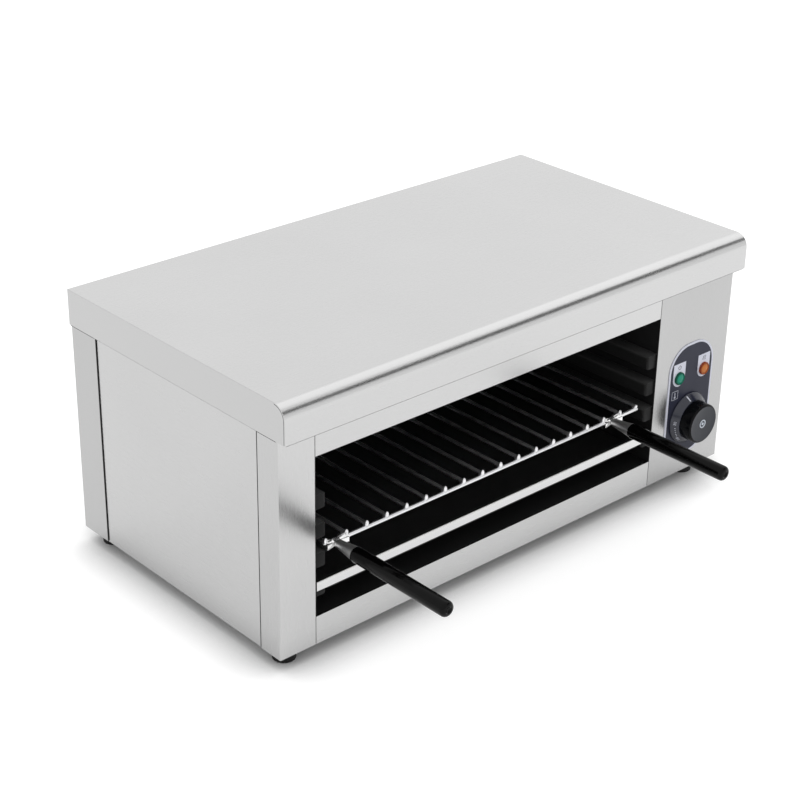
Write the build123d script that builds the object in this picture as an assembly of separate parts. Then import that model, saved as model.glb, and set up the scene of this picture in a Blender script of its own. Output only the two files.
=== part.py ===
"""Countertop cheese melter: a stainless cabinet with a heated cavity, a pull-out wire rack on two
handles, a crumb tray and a thermostat column.

Millimetres. Every piece is drawn from the cabinet's front left bottom corner: X to the right, Y
from the front face to the back, Z up from the base plate. The finished pieces are then moved so
that the origin lies under the middle of the whole object, on the surface that its feet stand on.
"""
from build123d import *
import os

# Cabinet
body_width = 600.0
body_depth = 310.0
body_height = 256.0
sheet = 1.0
liner_sheet = 0.8
seat_gap = 0.3
edge_break = 0.4

# Top cover
cover_flange = 36.0
cover_overhang = 12.5
cover_bend = 14.0
cover_side_fit = 0.3
cover_seam = 0.6
cover_hem = 8.0
cover_lap = 20.0

# Front frame round the opening
post_width = 41.0
post_return = 27.0
column_width = 111.0
bottom_rail_height = 29.0
top_rail_height = 29.5
rail_lap = 10.0
seam = 0.5
rail_return = 10.0
rear_wrap = 39.5

# Cavity
cavity_back_inset = 20.0
liner_setback = 1.0
liner_flange = 12.0
floor_below_rail = 2.0
ceiling_below_cover = 43.0
blanket_air_gap = 7.2
blanket_margin = 6.0

# Rack runners pressed as hollow ribs, counted from the top
runner_count = 4
runner_height = 14.4
runner_pitch = 29.5
runner_depth = 14.5
runner_top_level = 151.7
runner_nose_round = 3.0
runner_front = 1.5

# Wire rack
rack_level_count = 3
bar_diameter = 5.0
wire_diameter = 4.0
wire_pitch = 24.1
first_wire_past_runner = 0.2
last_wire_margin = 18.0
rack_side_clearance = 6.0
front_bar_inset = 4.5
rack_rear_clearance = 6.0
wire_overhang = 3.0
weld_gap = 0.05

# Pull handles of the rack
handle_gap_count = 1
grip_diameter = 15.0
grip_start = 24.0
grip_end = 143.0
grip_end_round = 4.0
grip_dimple = 4.0
rod_diameter = 5.0
rod_fit = 0.1
rod_in_grip = 70.0
ferrule_wall = 1.2
ferrule_tip_width = 8.0
clip_wire_clearance = 1.05
clip_plate_width = 30.0
clip_wall = 1.6
clip_top_cut = 1.0
clip_corner = 1.5

# Crumb tray
tray_sheet = 0.8
tray_lip_height = 9.0
tray_lip_thickness = 1.0
tray_side_clearance = 1.5
tray_dish_clearance = 3.0
tray_dish_depth = 14.0
tray_rear_clearance = 8.0

# Tubular heating elements
element_count = 3
element_diameter = 8.0
element_leg_spacing = 42.0
element_bend = 20.5
element_end_margin = 32.0
element_drop = 13.0
element_left_margin = 42.0
element_stub = 14.0
terminal_diameter = 4.0
terminal_length = 14.0
bushing_flats = 14.0
bushing_thickness = 4.0
hanger_from_left = 70.0
bulb_below_ceiling = 5.5
hole_fit = 0.2

# Control column
plate_width = 69.0
plate_height = 128.5
plate_corner = 29.0
plate_thickness = 0.8
plate_trim = 2.2
plate_low = 21.0
lamp_from_plate_side = 15.2
lamp_from_plate_top = 35.2
lamp_diameter = 14.0
lamp_bezel = 1.0
lamp_proud = 2.6
lamp_body_diameter = 11.0
lamp_body_length = 24.0
tag_width = 18.6
tag_above_lamp = 16.7
tag_thickness = 0.3
knob_above_plate_low = 42.4
skirt_diameter = 57.0
skirt_top_diameter = 45.0
skirt_thickness = 8.0
skirt_gap = 0.5
cap_diameter = 43.0
cap_front = 23.0
cap_dish = 1.0
cap_round = 2.5
badge_diameter = 11.0
badge_thickness = 0.6
spindle_diameter = 6.0
spindle_fit = 0.05
spindle_in_cap = 9.0
spindle_depth = 16.0
thermostat_size = 34.0
thermostat_depth = 26.0
panel_hole_clearance = 1.0
bulb_diameter = 6.0
bulb_length = 80.0
capillary_diameter = 1.6

# Supply side
terminal_block_size = (44.0, 22.0, 18.0)
gland_from_right = 60.0
gland_level = 42.0
gland_thread_diameter = 16.0
gland_bore_diameter = 9.0
gland_flats = 22.0
gland_flange = 5.0
gland_dome = 17.0
gland_lock_nut = 5.0
vent_slot = (46.0, 4.0)
vent_pitch = 10.0
vent_rows = 7
vent_below_cover = 30.0

# Feet and screws
foot_height = 14.5
foot_top_diameter = 24.0
foot_bottom_diameter = 22.0
foot_inset_left = 20.0
foot_inset_right = 32.0
foot_inset_ends = 20.0
foot_recess_diameter = 10.0
foot_recess_depth = 7.0
screw_diameter = 4.0
screw_head_diameter = 7.5
screw_head_height = 2.4
screw_fit = 0.2
nut_flats = 7.0
nut_height = 3.2
driver_slot = 1.2
panel_screw_inset = 14.0
bracket_foot = 8.0

# Places that follow from the sizes above
wall_top = body_height - cover_flange
shell_top = body_height - sheet
front_top = wall_top + cover_lap
opening_left = post_width
opening_right = body_width - column_width
opening_low = bottom_rail_height
opening_high = wall_top - top_rail_height
left_liner = opening_left - liner_setback
right_liner = opening_right + liner_setback
cavity_back = body_depth - cavity_back_inset
cavity_floor = bottom_rail_height - floor_below_rail
cavity_ceiling = body_height - ceiling_below_cover
runner_tip_left = left_liner + runner_depth
runner_tip_right = right_liner - runner_depth
rack_rest = runner_top_level - runner_pitch * (rack_level_count - 1)
tray_rest = runner_top_level - runner_pitch * (runner_count - 1)
first_wire = runner_tip_left + first_wire_past_runner
wire_count = int((right_liner - last_wire_margin - first_wire) / wire_pitch) + 1
clip_width = wire_pitch - 2 * clip_wire_clearance
bar_radius = bar_diameter / 2
wire_radius = wire_diameter / 2
bar_level = rack_rest + seat_gap + bar_radius
wire_level = bar_level + bar_radius + weld_gap + wire_radius
element_level = cavity_ceiling - element_drop
bulb_level = cavity_ceiling - bulb_below_ceiling
element_pitch = (cavity_back - 2 * element_end_margin - element_leg_spacing) / (element_count - 1)
blanket_height = ceiling_below_cover - sheet - liner_sheet - blanket_air_gap
plate_centre_x = (opening_right + body_width) / 2
plate_centre_z = plate_low + plate_height / 2
lamp_spread = plate_width - 2 * lamp_from_plate_side
lamp_level = plate_low + plate_height - lamp_from_plate_top
knob_level = plate_low + knob_above_plate_low
gland_reach = gland_flange + gland_dome
front_plane = (grip_end - body_depth - gland_reach) / 2

LOW = (Align.MIN, Align.MIN, Align.MIN)


def block(x, y, z):
    """Box between the low and the high value of each pair."""
    return Pos(x[0], y[0], z[0]) * Box(x[1] - x[0], y[1] - y[0], z[1] - z[0], align=LOW)


def rod_y(radius, x, z, y):
    """Round bar along Y at x, z, between the two values of y."""
    turned = Rot(-90, 0, 0) * Cylinder(radius, y[1] - y[0], align=(Align.CENTER, Align.CENTER, Align.MIN))
    return Pos(x, y[0], z) * turned


def rod_x(radius, y, z, x):
    """Round bar along X at y, z, between the two values of x."""
    turned = Rot(0, 90, 0) * Cylinder(radius, x[1] - x[0], align=(Align.CENTER, Align.CENTER, Align.MIN))
    return Pos(x[0], y, z) * turned


def rod_z(radius, x, y, z):
    """Round bar along Z at x, y, between the two values of z."""
    return Pos(x, y, z[0]) * Cylinder(radius, z[1] - z[0], align=(Align.CENTER, Align.CENTER, Align.MIN))


def cone_y(front_radius, rear_radius, x, z, y):
    """Cone along Y at x, z: front_radius at the low y, rear_radius at the high y."""
    cone = Cone(front_radius, rear_radius, y[1] - y[0], align=(Align.CENTER, Align.CENTER, Align.MIN))
    return Pos(x, y[0], z) * Rot(-90, 0, 0) * cone


def hexagon_y(flats, x, z, y):
    """Hexagonal bar along Y at x, z."""
    across = RegularPolygon(flats / 2, 6, major_radius=False)
    return Pos(x, y[0], z) * Rot(-90, 0, 0) * extrude(across, y[1] - y[0])


def rounded_plate_y(inset, y):
    """Control plate's outline drawn in by inset, as a plate between the two values of y."""
    outline = RectangleRounded(plate_width - 2 * inset, plate_height - 2 * inset, plate_corner - inset)
    return Pos(plate_centre_x, y[0], plate_centre_z) * Rot(-90, 0, 0) * extrude(outline, y[1] - y[0])


def tube_path(points, bend, radius):
    """Round wire along straight runs joined by arcs of one bend radius."""
    route = FilletPolyline(*points, radius=bend)
    section = Plane(origin=route @ 0, z_dir=route % 0) * Circle(radius)
    return sweep(section, path=route)


def save(name, *solids):
    """Move the solids from the cabinet's corner to the object's own origin and write the node."""
    home = Location((-body_width / 2, front_plane, foot_height))
    moved = [solid.moved(home) for shape in solids for solid in shape.solids()]
    node = moved[0] if len(moved) == 1 else Compound(children=moved)
    export_step(node, f"parts/{name}.step")


# Casing ------------------------------------------------------------------------------------------

def cover_form(inset, x):
    """Cover's outer form, drawn in by inset, with the rounded front top edge."""
    y = (-cover_overhang + inset, body_depth + cover_side_fit + sheet - inset)
    form = block(x, y, (wall_top - inset, body_height - inset))
    front_top = form.edges().filter_by(Axis.X).group_by(Axis.Z)[-1].sort_by(Axis.Y)[0]
    return fillet(front_top, cover_bend - inset)


def top_cover():
    """Folded lid: top, rounded front flange with a hem, side flanges and rear flange."""
    side = cover_side_fit + sheet
    outer_x = (-side, body_width + side)
    inner_x = (-cover_side_fit, body_width + cover_side_fit)
    lid = cover_form(0, outer_x) - cover_form(sheet, inner_x)
    seam_strip = cover_form(sheet, outer_x) - cover_form(sheet + cover_seam, outer_x)
    front_zone = block(outer_x, (-cover_overhang, -cover_overhang + cover_bend), (0, body_height))
    lid -= seam_strip & front_zone
    hem_y = (-cover_overhang + sheet / 2, -cover_overhang + cover_hem)
    hem_x = (-cover_side_fit + cover_seam, body_width + cover_side_fit - cover_seam)
    lid += block(hem_x, hem_y, (wall_top, wall_top + sheet))
    return lid


def front_left_post():
    """L-shaped post left of the opening."""
    face = block((0, post_width - seam / 2), (0, sheet), (0, front_top))
    side = block((0, sheet), (0, post_return), (0, front_top))
    return face + side


def control_panel():
    """L-shaped column right of the opening, with the holes for the spindle and the lamps."""
    panel = block((opening_right + seam / 2, body_width), (0, sheet), (0, front_top))
    panel += block((body_width - sheet, body_width), (0, post_return), (0, front_top))
    hole_y = (-sheet, 2 * sheet)
    panel -= rod_y(spindle_diameter / 2 + panel_hole_clearance, plate_centre_x, knob_level, hole_y)
    for x in lamp_places():
        panel -= rod_y(lamp_body_diameter / 2 + hole_fit, x, lamp_level, hole_y)
    return panel


def front_rail(z, folded_at):
    """Rail between the posts, lapped behind both, with a safe return where folded_at says."""
    rail = block((opening_left + seam / 2, opening_right - seam / 2), (0, sheet), z)
    for x in (opening_left, opening_right):
        rail += block((x - rail_lap, x + rail_lap), (sheet, 2 * sheet), (max(z[0], sheet), z[1]))
    fold_x = (opening_left + rail_lap, opening_right - rail_lap)
    return rail + block(fold_x, (sheet / 2, rail_return), folded_at)


def front_top_rail():
    return front_rail((opening_high, front_top), (opening_high, opening_high + sheet))


def front_bottom_rail():
    return front_rail((0, opening_low), (sheet, 2 * sheet))


def side_panel(x):
    """Flat side sheet, held behind the front return and the rear wrap."""
    return block(x, (post_return - rail_lap, body_depth - rear_wrap + rail_lap), (sheet, shell_top))


def left_side_panel():
    return side_panel((sheet, 2 * sheet))


def right_side_panel():
    """Right side sheet with two rows of slots that let the warm air out of the control column."""
    panel = side_panel((body_width - 2 * sheet, body_width - sheet))
    for row in range(vent_rows):
        for column in range(2):
            y = body_depth / 2 + (column - 0.5) * (vent_slot[0] + vent_pitch)
            z = wall_top - vent_below_cover - row * vent_pitch
            panel -= block((body_width - 3 * sheet, body_width),
                           (y - vent_slot[0] / 2, y + vent_slot[0] / 2), (z, z + vent_slot[1]))
    return panel


def rear_panel():
    """Back sheet that wraps round both rear corners, with vent slots and the gland's hole."""
    panel = block((0, body_width), (body_depth - sheet, body_depth), (0, shell_top))
    for x in ((0, sheet), (body_width - sheet, body_width)):
        panel += block(x, (body_depth - rear_wrap, body_depth), (0, shell_top))
    cut_y = (body_depth - 2 * sheet, body_depth + sheet)
    for row in range(vent_rows):
        z = wall_top - vent_below_cover - row * vent_pitch
        for x in vent_columns():
            panel -= block((x - vent_slot[0] / 2, x + vent_slot[0] / 2), cut_y, (z, z + vent_slot[1]))
    panel -= rod_y(gland_thread_diameter / 2 + hole_fit, gland_x(), gland_level, cut_y)
    for x, z in panel_screw_places():
        panel -= rod_y(screw_diameter / 2 + screw_fit, x, z, cut_y)
    return panel


def vent_columns():
    """X of the columns of slots in the rear panel: three behind the cavity, one behind the controls."""
    step = (opening_right - opening_left) / 4
    return [opening_left + step * column for column in (1, 2, 3)] + [gland_x()]


def base_plate():
    """Bottom sheet inside the posts and the rear panel, with the feet's screw holes."""
    plate = block((sheet, body_width - sheet), (sheet, body_depth - sheet), (0, sheet))
    for x, y in foot_places():
        plate -= rod_z(screw_diameter / 2 + screw_fit, x, y, (-sheet, 2 * sheet))
    return plate


def rear_corner_brackets():
    """Two angles between the base plate and the rear panel that take the panel's screws."""
    brackets = []
    for x in (2 * sheet, body_width - 2 * sheet - 2 * panel_screw_inset):
        wide = (x, x + 2 * panel_screw_inset)
        upright = block(wide, (body_depth - 3 * sheet, body_depth - sheet), (sheet, shell_top))
        foot = block(wide, (body_depth - sheet - bracket_foot, body_depth - sheet), (sheet, 3 * sheet))
        bracket = upright + foot
        for screw_x, z in panel_screw_places():
            bracket -= rod_y(screw_diameter / 2, screw_x, z, (body_depth - 4 * sheet, body_depth))
        brackets.append(bracket)
    return brackets


# Cavity ------------------------------------------------------------------------------------------

def cavity_wall(face, outward):
    """Side wall of the cavity: face is its inner face, outward is -1 on the left and 1 on the right."""
    back_side = face + outward * liner_sheet
    flange_end = face + outward * liner_flange
    height = (sheet, cavity_ceiling)
    wall = block(sorted((face, back_side)), (2 * sheet, cavity_back), height)
    return wall + block(sorted((face, flange_end)), (2 * sheet, 2 * sheet + liner_sheet), height)


def left_cavity_wall():
    return cavity_wall(left_liner, -1)


def right_cavity_wall():
    """Wall towards the control column, with the holes for the elements and the sensor's capillary."""
    wall = cavity_wall(right_liner, 1)
    through = (right_liner - sheet, right_liner + liner_flange)
    for y in element_legs():
        wall -= rod_x(element_diameter / 2 + hole_fit, y, element_level, through)
    wall -= rod_x(capillary_diameter / 2 + hole_fit, bulb_y(), bulb_level, through)
    return wall


def runner(face, outward, level):
    """One hollow rib with a closed, softly rounded nose; level is its upper face."""
    tip = face - outward * runner_depth
    length = (runner_front, cavity_back - seat_gap)
    rib = block(sorted((face, tip)), length, (level - runner_height, level))
    tip_edges = rib.edges().filter_by(Axis.Y).group_by(Axis.X)[0 if outward > 0 else -1]
    nose = rib.faces().sort_by(Axis.Y)[0].edges().filter_by(Axis.Z)
    rib = fillet(tip_edges + nose.group_by(Axis.X)[0 if outward > 0 else -1], runner_nose_round)
    hollow_x = sorted((face + outward, tip + outward * liner_sheet))
    hollow = block(hollow_x, (length[0] + liner_sheet, length[1] + sheet),
                   (level - runner_height + liner_sheet, level - liner_sheet))
    hollow_edges = hollow.edges().filter_by(Axis.Y).group_by(Axis.X)[0 if outward > 0 else -1]
    hollow = fillet(hollow_edges, runner_nose_round - liner_sheet)
    front_flange = block(sorted((face, face + outward * liner_flange)), (0, 2 * sheet), (0, body_height))
    return rib - hollow - front_flange


def runners(face, outward):
    levels = [runner_top_level - runner_pitch * step for step in range(runner_count)]
    return [runner(face, outward, level) for level in levels]


def cavity_back_wall():
    x = (left_liner - liner_sheet, right_liner + liner_sheet)
    return block(x, (cavity_back, cavity_back + liner_sheet), (sheet, cavity_ceiling))


def cavity_floor_sheet():
    """Floor with a down-turned front edge behind the bottom rail."""
    x = (left_liner, right_liner)
    floor = block(x, (2 * sheet, cavity_back), (cavity_floor - liner_sheet, cavity_floor))
    return floor + block(x, (2 * sheet, 2 * sheet + liner_sheet), (2 * sheet, cavity_floor))


def heat_reflector():
    """Bright sheet above the elements, which closes the cavity and carries the blanket."""
    x = (left_liner - liner_sheet, right_liner + liner_sheet)
    y = (2 * sheet, cavity_back + liner_sheet)
    return block(x, y, (cavity_ceiling, cavity_ceiling + liner_sheet))


def insulation_blanket():
    """Ceramic fibre blanket between the reflector and the cover."""
    x = (left_liner + blanket_margin, right_liner - blanket_margin)
    y = (2 * sheet + blanket_margin, cavity_back - blanket_margin)
    low = cavity_ceiling + liner_sheet
    blanket = block(x, y, (low, low + blanket_height))
    return fillet(blanket.edges().filter_by(Axis.Z), blanket_margin)


# Heating ------------------------------------------------------------------------------------------

def element_legs():
    """Y of every straight leg, two for each hairpin."""
    starts = [element_end_margin + element_pitch * index for index in range(element_count)]
    return [start + step for start in starts for step in (0, element_leg_spacing)]


def heating_element(index):
    """Hairpin tube: two legs through the right wall, joined by a half turn at the left."""
    front = element_legs()[2 * index]
    rear = front + element_leg_spacing
    turn = left_liner + element_left_margin
    ends = right_liner + element_stub
    points = [(ends, front, element_level), (turn, front, element_level),
              (turn, rear, element_level), (ends, rear, element_level)]
    return tube_path(points, element_bend, element_diameter / 2)


def element_terminals():
    """Threaded studs on the cold ends."""
    start = right_liner + element_stub
    return [rod_x(terminal_diameter / 2, y, element_level, (start, start + terminal_length))
            for y in element_legs()]


def element_bushings():
    """Hexagonal bushings that hold the elements against the right wall."""
    start = right_liner + liner_sheet
    bushings = []
    for y in element_legs():
        across = RegularPolygon(bushing_flats / 2, 6, major_radius=False)
        body = Pos(start, y, element_level) * Rot(0, 90, 0) * extrude(across, bushing_thickness)
        bushings.append(body - rod_x(element_diameter / 2 + hole_fit, y, element_level,
                                     (start - sheet, start + 2 * bushing_thickness)))
    return bushings


def element_hanger():
    """Strip under the reflector with a hole for every leg."""
    legs = element_legs()
    x = (left_liner + hanger_from_left, left_liner + hanger_from_left + 2 * sheet)
    margin = element_diameter
    strip = block(x, (legs[0] - margin, legs[-1] + margin), (element_level - margin, cavity_ceiling))
    for y in legs:
        strip -= rod_x(element_diameter / 2 + hole_fit, y, element_level, (x[0] - sheet, x[1] + sheet))
    return strip


def element_links():
    """Flat bars that join the studs of neighbouring elements."""
    legs = element_legs()
    x = (right_liner + element_stub + terminal_length / 3, right_liner + element_stub + terminal_length / 2)
    links = []
    for first in range(1, len(legs) - 1, 2):
        z = (element_level - terminal_diameter, element_level + terminal_diameter)
        bar = block(x, (legs[first] - terminal_diameter, legs[first + 1] + terminal_diameter), z)
        for y in (legs[first], legs[first + 1]):
            bar -= rod_x(terminal_diameter / 2 + hole_fit, y, element_level, (x[0] - sheet, x[1] + sheet))
        links.append(bar)
    return links


# Wire rack ----------------------------------------------------------------------------------------

def rack_bars():
    """Y of the three cross bars, front to back."""
    rear = cavity_back - rack_rear_clearance - bar_radius
    return (front_bar_inset, (front_bar_inset + rear) / 2, rear)


def rack_bar(index):
    x = (left_liner + rack_side_clearance, right_liner - rack_side_clearance)
    return rod_x(bar_radius, rack_bars()[index], bar_level, x)


def wire_places():
    return [first_wire + wire_pitch * index for index in range(wire_count)]


def rack_wires():
    """Wires that lie on the cross bars from front to back."""
    y = (rack_bars()[0] - wire_overhang, rack_bars()[-1] + wire_overhang)
    return [rod_y(wire_radius, x, wire_level, y) for x in wire_places()]


def handle_places():
    """X of each handle, midway between two wires."""
    left = first_wire + wire_pitch * (handle_gap_count - 1 / 2)
    return left, left + wire_pitch * (wire_count - 2 - handle_gap_count)


def handle_clip(x):
    """Folded clip that wraps the front bar from below, with a wider plate over the wires' ends."""
    wide = (x - clip_width / 2, x + clip_width / 2)
    y = rack_bars()[0]
    across = RegularPolygon(bar_radius + weld_gap + clip_wall, 6, major_radius=False)
    wrap = Pos(wide[0], y, bar_level) * Rot(0, 90, 0) * extrude(across, clip_width)
    wrap -= rod_x(bar_radius + weld_gap, y, bar_level, (wide[0] - sheet, wide[1] + sheet))
    above = (bar_level + clip_top_cut, bar_level + 2 * bar_diameter)
    wrap -= block((wide[0] - sheet, wide[1] + sheet), (y - bar_diameter * 2, y + bar_diameter * 2), above)
    plate = block((x - clip_plate_width / 2, x + clip_plate_width / 2), (clip_front(), y - wire_overhang - weld_gap),
                  (bar_level - bar_radius + seat_gap, wire_level))
    plate = fillet(plate.edges().filter_by(Axis.Y), clip_corner)
    return wrap + plate


def clip_front():
    """Y of the clip's front face."""
    return rack_bars()[0] - (bar_radius + weld_gap + clip_wall)


def handle_ferrule(x):
    """Flattened steel neck that widens from the clip to the grip, bored for the rod."""
    front = -grip_start
    rear = clip_front() - weld_gap
    wide_end = Plane(origin=(x, front, bar_level), x_dir=(1, 0, 0), z_dir=(0, 1, 0)) * Circle(
        grip_diameter / 2 - ferrule_wall / 2)
    tip_height = rod_diameter + 2 * ferrule_wall
    tip_plane = Plane(origin=(x, rear, bar_level), x_dir=(1, 0, 0), z_dir=(0, 1, 0))
    tip_end = tip_plane * Ellipse(ferrule_tip_width / 2, tip_height / 2)
    neck = loft([wide_end, tip_end])
    return neck - rod_y(rod_diameter / 2 + rod_fit, x, bar_level, (front - sheet, rear + sheet))


def handle_rod(x):
    """Steel rod from the clip through the neck into the grip."""
    return rod_y(rod_diameter / 2, x, bar_level, (-grip_start - rod_in_grip, clip_front() - weld_gap))


def handle_grip(x):
    """Moulded round grip with a softly rounded end and a small dimple, bored for the rod."""
    radius = grip_diameter / 2
    grip = rod_y(radius, x, bar_level, (-grip_end, -grip_start))
    grip = fillet(grip.edges().filter_by(GeomType.CIRCLE).sort_by(Axis.Y)[0], grip_end_round)
    grip = fillet(grip.edges().filter_by(GeomType.CIRCLE).sort_by(Axis.Y)[-1], edge_break)
    grip -= Pos(x, -grip_end - grip_dimple / 2, bar_level) * Sphere(grip_dimple)
    bore = (-grip_start - rod_in_grip - rod_fit, -grip_start + sheet)
    return grip - rod_y(rod_diameter / 2 + rod_fit, x, bar_level, bore)


# Crumb tray ---------------------------------------------------------------------------------------

def crumb_tray():
    """Shallow pan that hangs by its rims on the lowest runners, with a front lip that a hand pulls."""
    rim_high = tray_rest + tray_sheet
    lip_back = runner_front - seat_gap
    lip_front = lip_back - tray_lip_thickness
    rim_x = (left_liner + tray_side_clearance, right_liner - tray_side_clearance)
    lip_x = (opening_left + tray_side_clearance, opening_right - tray_side_clearance)
    rear = cavity_back - tray_rear_clearance
    dish_x = (runner_tip_left + tray_dish_clearance, runner_tip_right - tray_dish_clearance)
    dish_y = (lip_back + tray_dish_clearance, rear - tray_dish_clearance)
    pan = block(rim_x, (lip_back, rear), (tray_rest, rim_high))
    pan += block(dish_x, dish_y, (rim_high - tray_dish_depth, rim_high))
    inside_x = (dish_x[0] + tray_sheet, dish_x[1] - tray_sheet)
    inside_y = (dish_y[0] + tray_sheet, dish_y[1] - tray_sheet)
    pan -= block(inside_x, inside_y, (rim_high - tray_dish_depth + tray_sheet, rim_high + sheet))
    lip = block(lip_x, (lip_front, lip_back), (tray_rest - tray_lip_height + tray_sheet, rim_high))
    return pan + lip


# Controls -----------------------------------------------------------------------------------------

def lamp_places():
    return (plate_centre_x - lamp_spread / 2, plate_centre_x + lamp_spread / 2)


def control_plate():
    """Dark round-ended plate with holes for the spindle and the lamps."""
    plate = rounded_plate_y(plate_trim + weld_gap, (-plate_thickness, 0))
    through = (-2 * plate_thickness, sheet)
    plate -= rod_y(spindle_diameter / 2 + panel_hole_clearance, plate_centre_x, knob_level, through)
    for x in lamp_places():
        plate -= rod_y(lamp_body_diameter / 2 + hole_fit, x, lamp_level, through)
    return plate


def plate_border():
    """White rim round the dark plate."""
    return rounded_plate_y(0, (-plate_thickness, 0)) - rounded_plate_y(plate_trim, (-2 * plate_thickness, sheet))


def lamp_tag(x):
    """White tag behind a lamp: square above, round below."""
    y = (-plate_thickness - tag_thickness, -plate_thickness)
    half = tag_width / 2
    tag = block((x - half, x + half), y, (lamp_level, lamp_level + tag_above_lamp))
    tag += rod_y(half, x, lamp_level, y)
    return tag - rod_y(lamp_body_diameter / 2 + hole_fit, x, lamp_level, (y[0] - sheet, sheet))


def lamp_lens(x):
    """Round lens cap that sits on its tag."""
    seat = -plate_thickness - tag_thickness
    lens = rod_y(lamp_diameter / 2, x, lamp_level, (seat - lamp_proud, seat))
    return fillet(lens.edges().filter_by(GeomType.CIRCLE).sort_by(Axis.Y)[0], lamp_bezel)


def lamp_body(x):
    """Lamp holder through the panel, with its two push-on tabs."""
    seat = -plate_thickness - tag_thickness
    body = rod_y(lamp_body_diameter / 2, x, lamp_level, (seat, lamp_body_length))
    for side in (-1, 1):
        tab_x = x + side * lamp_body_diameter / 4
        tab = (tab_x - driver_slot / 2, tab_x + driver_slot / 2)
        height = (lamp_level - terminal_diameter / 2, lamp_level + terminal_diameter / 2)
        body += block(tab, (lamp_body_length, lamp_body_length + terminal_length / 2), height)
    return body


def knob_skirt():
    """Conical skirt of the knob."""
    back = -plate_thickness - skirt_gap
    skirt = cone_y(skirt_top_diameter / 2, skirt_diameter / 2, plate_centre_x, knob_level,
                   (back - skirt_thickness, back))
    bore = (back - skirt_thickness - sheet, back + sheet)
    return skirt - rod_y(spindle_diameter / 2 + weld_gap, plate_centre_x, knob_level, bore)


def knob_cap():
    """Round grip of the knob with a slightly dished face and a seat for the badge."""
    back = -plate_thickness - skirt_gap - skirt_thickness
    cap = rod_y(cap_diameter / 2, plate_centre_x, knob_level, (-cap_front, back))
    cap = fillet(cap.edges().filter_by(GeomType.CIRCLE).sort_by(Axis.Y)[0], cap_round)
    rim = cap_diameter / 2 - cap_round
    bowl = (rim ** 2 + cap_dish ** 2) / (2 * cap_dish)
    cap -= Pos(plate_centre_x, -cap_front + cap_dish - bowl, knob_level) * Sphere(bowl)
    badge_seat = (-cap_front - sheet, -cap_front + cap_dish + badge_thickness)
    cap -= rod_y(badge_diameter / 2 + weld_gap, plate_centre_x, knob_level, badge_seat)
    bore = (back - spindle_in_cap, back + sheet)
    return cap - rod_y(spindle_diameter / 2 + weld_gap, plate_centre_x, knob_level, bore)


def knob_badge():
    """Plain bright disc in the middle of the cap."""
    seat = -cap_front + cap_dish + badge_thickness
    disc = rod_y(badge_diameter / 2, plate_centre_x, knob_level, (seat - badge_thickness, seat))
    return fillet(disc.edges().filter_by(GeomType.CIRCLE).sort_by(Axis.Y)[0], badge_thickness / 2)


def knob_spindle():
    """Shaft of the thermostat, on which the knob is pushed."""
    skirt_front = -plate_thickness - skirt_gap - skirt_thickness
    y = (skirt_front - spindle_in_cap + weld_gap, thermostat_back_of_panel() + spindle_depth)
    return rod_y(spindle_diameter / 2, plate_centre_x, knob_level, y)


def thermostat_back_of_panel():
    return 2 * sheet


def thermostat_bracket():
    """Plate behind the panel that the thermostat is screwed to."""
    half = thermostat_size / 2 + 2 * sheet
    y = (sheet, thermostat_back_of_panel())
    plate = block((plate_centre_x - half, plate_centre_x + half), y, (knob_level - half, knob_level + half))
    return plate - rod_y(spindle_diameter / 2 + panel_hole_clearance, plate_centre_x, knob_level, (0, 3 * sheet))


def thermostat_body():
    """Thermostat housing with the bore that guides the spindle and two push-on tabs."""
    half = thermostat_size / 2
    front = thermostat_back_of_panel()
    body = block((plate_centre_x - half, plate_centre_x + half), (front, front + thermostat_depth),
                 (knob_level - half, knob_level + half))
    body = fillet(body.edges().filter_by(Axis.Y), cap_round)
    bore = (front - sheet, front + spindle_depth + seat_gap)
    body -= rod_y(spindle_diameter / 2 + spindle_fit, plate_centre_x, knob_level, bore)
    for side in (-1, 1):
        x = plate_centre_x + side * half / 2
        body += block((x - driver_slot / 2, x + driver_slot / 2),
                      (front + thermostat_depth, front + thermostat_depth + terminal_length / 2),
                      (knob_level - terminal_diameter / 2, knob_level + terminal_diameter / 2))
    return body


def bulb_y():
    """Y of the sensor, between the first two elements."""
    legs = element_legs()
    return (legs[1] + legs[2]) / 2


def sensor_bulb():
    """Sensor of the thermostat, along the inside of the cavity's ceiling."""
    end = right_liner - bulb_diameter
    return rod_x(bulb_diameter / 2, bulb_y(), bulb_level, (end - bulb_length, end))


def sensor_clips():
    """Strips from the reflector that hold the bulb."""
    clips = []
    for share in (0.25, 0.75):
        x = right_liner - bulb_diameter - bulb_length * share
        half = bulb_diameter
        strip = block((x - sheet, x + sheet), (bulb_y() - half, bulb_y() + half),
                      (bulb_level - half, cavity_ceiling))
        clips.append(strip - rod_x(bulb_diameter / 2 + hole_fit, bulb_y(), bulb_level,
                                   (x - 2 * sheet, x + 2 * sheet)))
    return clips


def sensor_capillary():
    """Thin tube from the bulb through the wall and down to the thermostat."""
    bend = 5 * capillary_diameter
    y = bulb_y()
    column = right_liner + element_stub + terminal_length
    behind = thermostat_back_of_panel() + thermostat_depth
    half = thermostat_size / 4
    points = [(right_liner - bulb_diameter, y, bulb_level),
              (column, y, bulb_level),
              (column, y, knob_level + half),
              (plate_centre_x, y, knob_level + half),
              (plate_centre_x, behind, knob_level + half)]
    return tube_path(points, bend, capillary_diameter / 2)


# Supply -------------------------------------------------------------------------------------------

def gland_x():
    return body_width - gland_from_right


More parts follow.
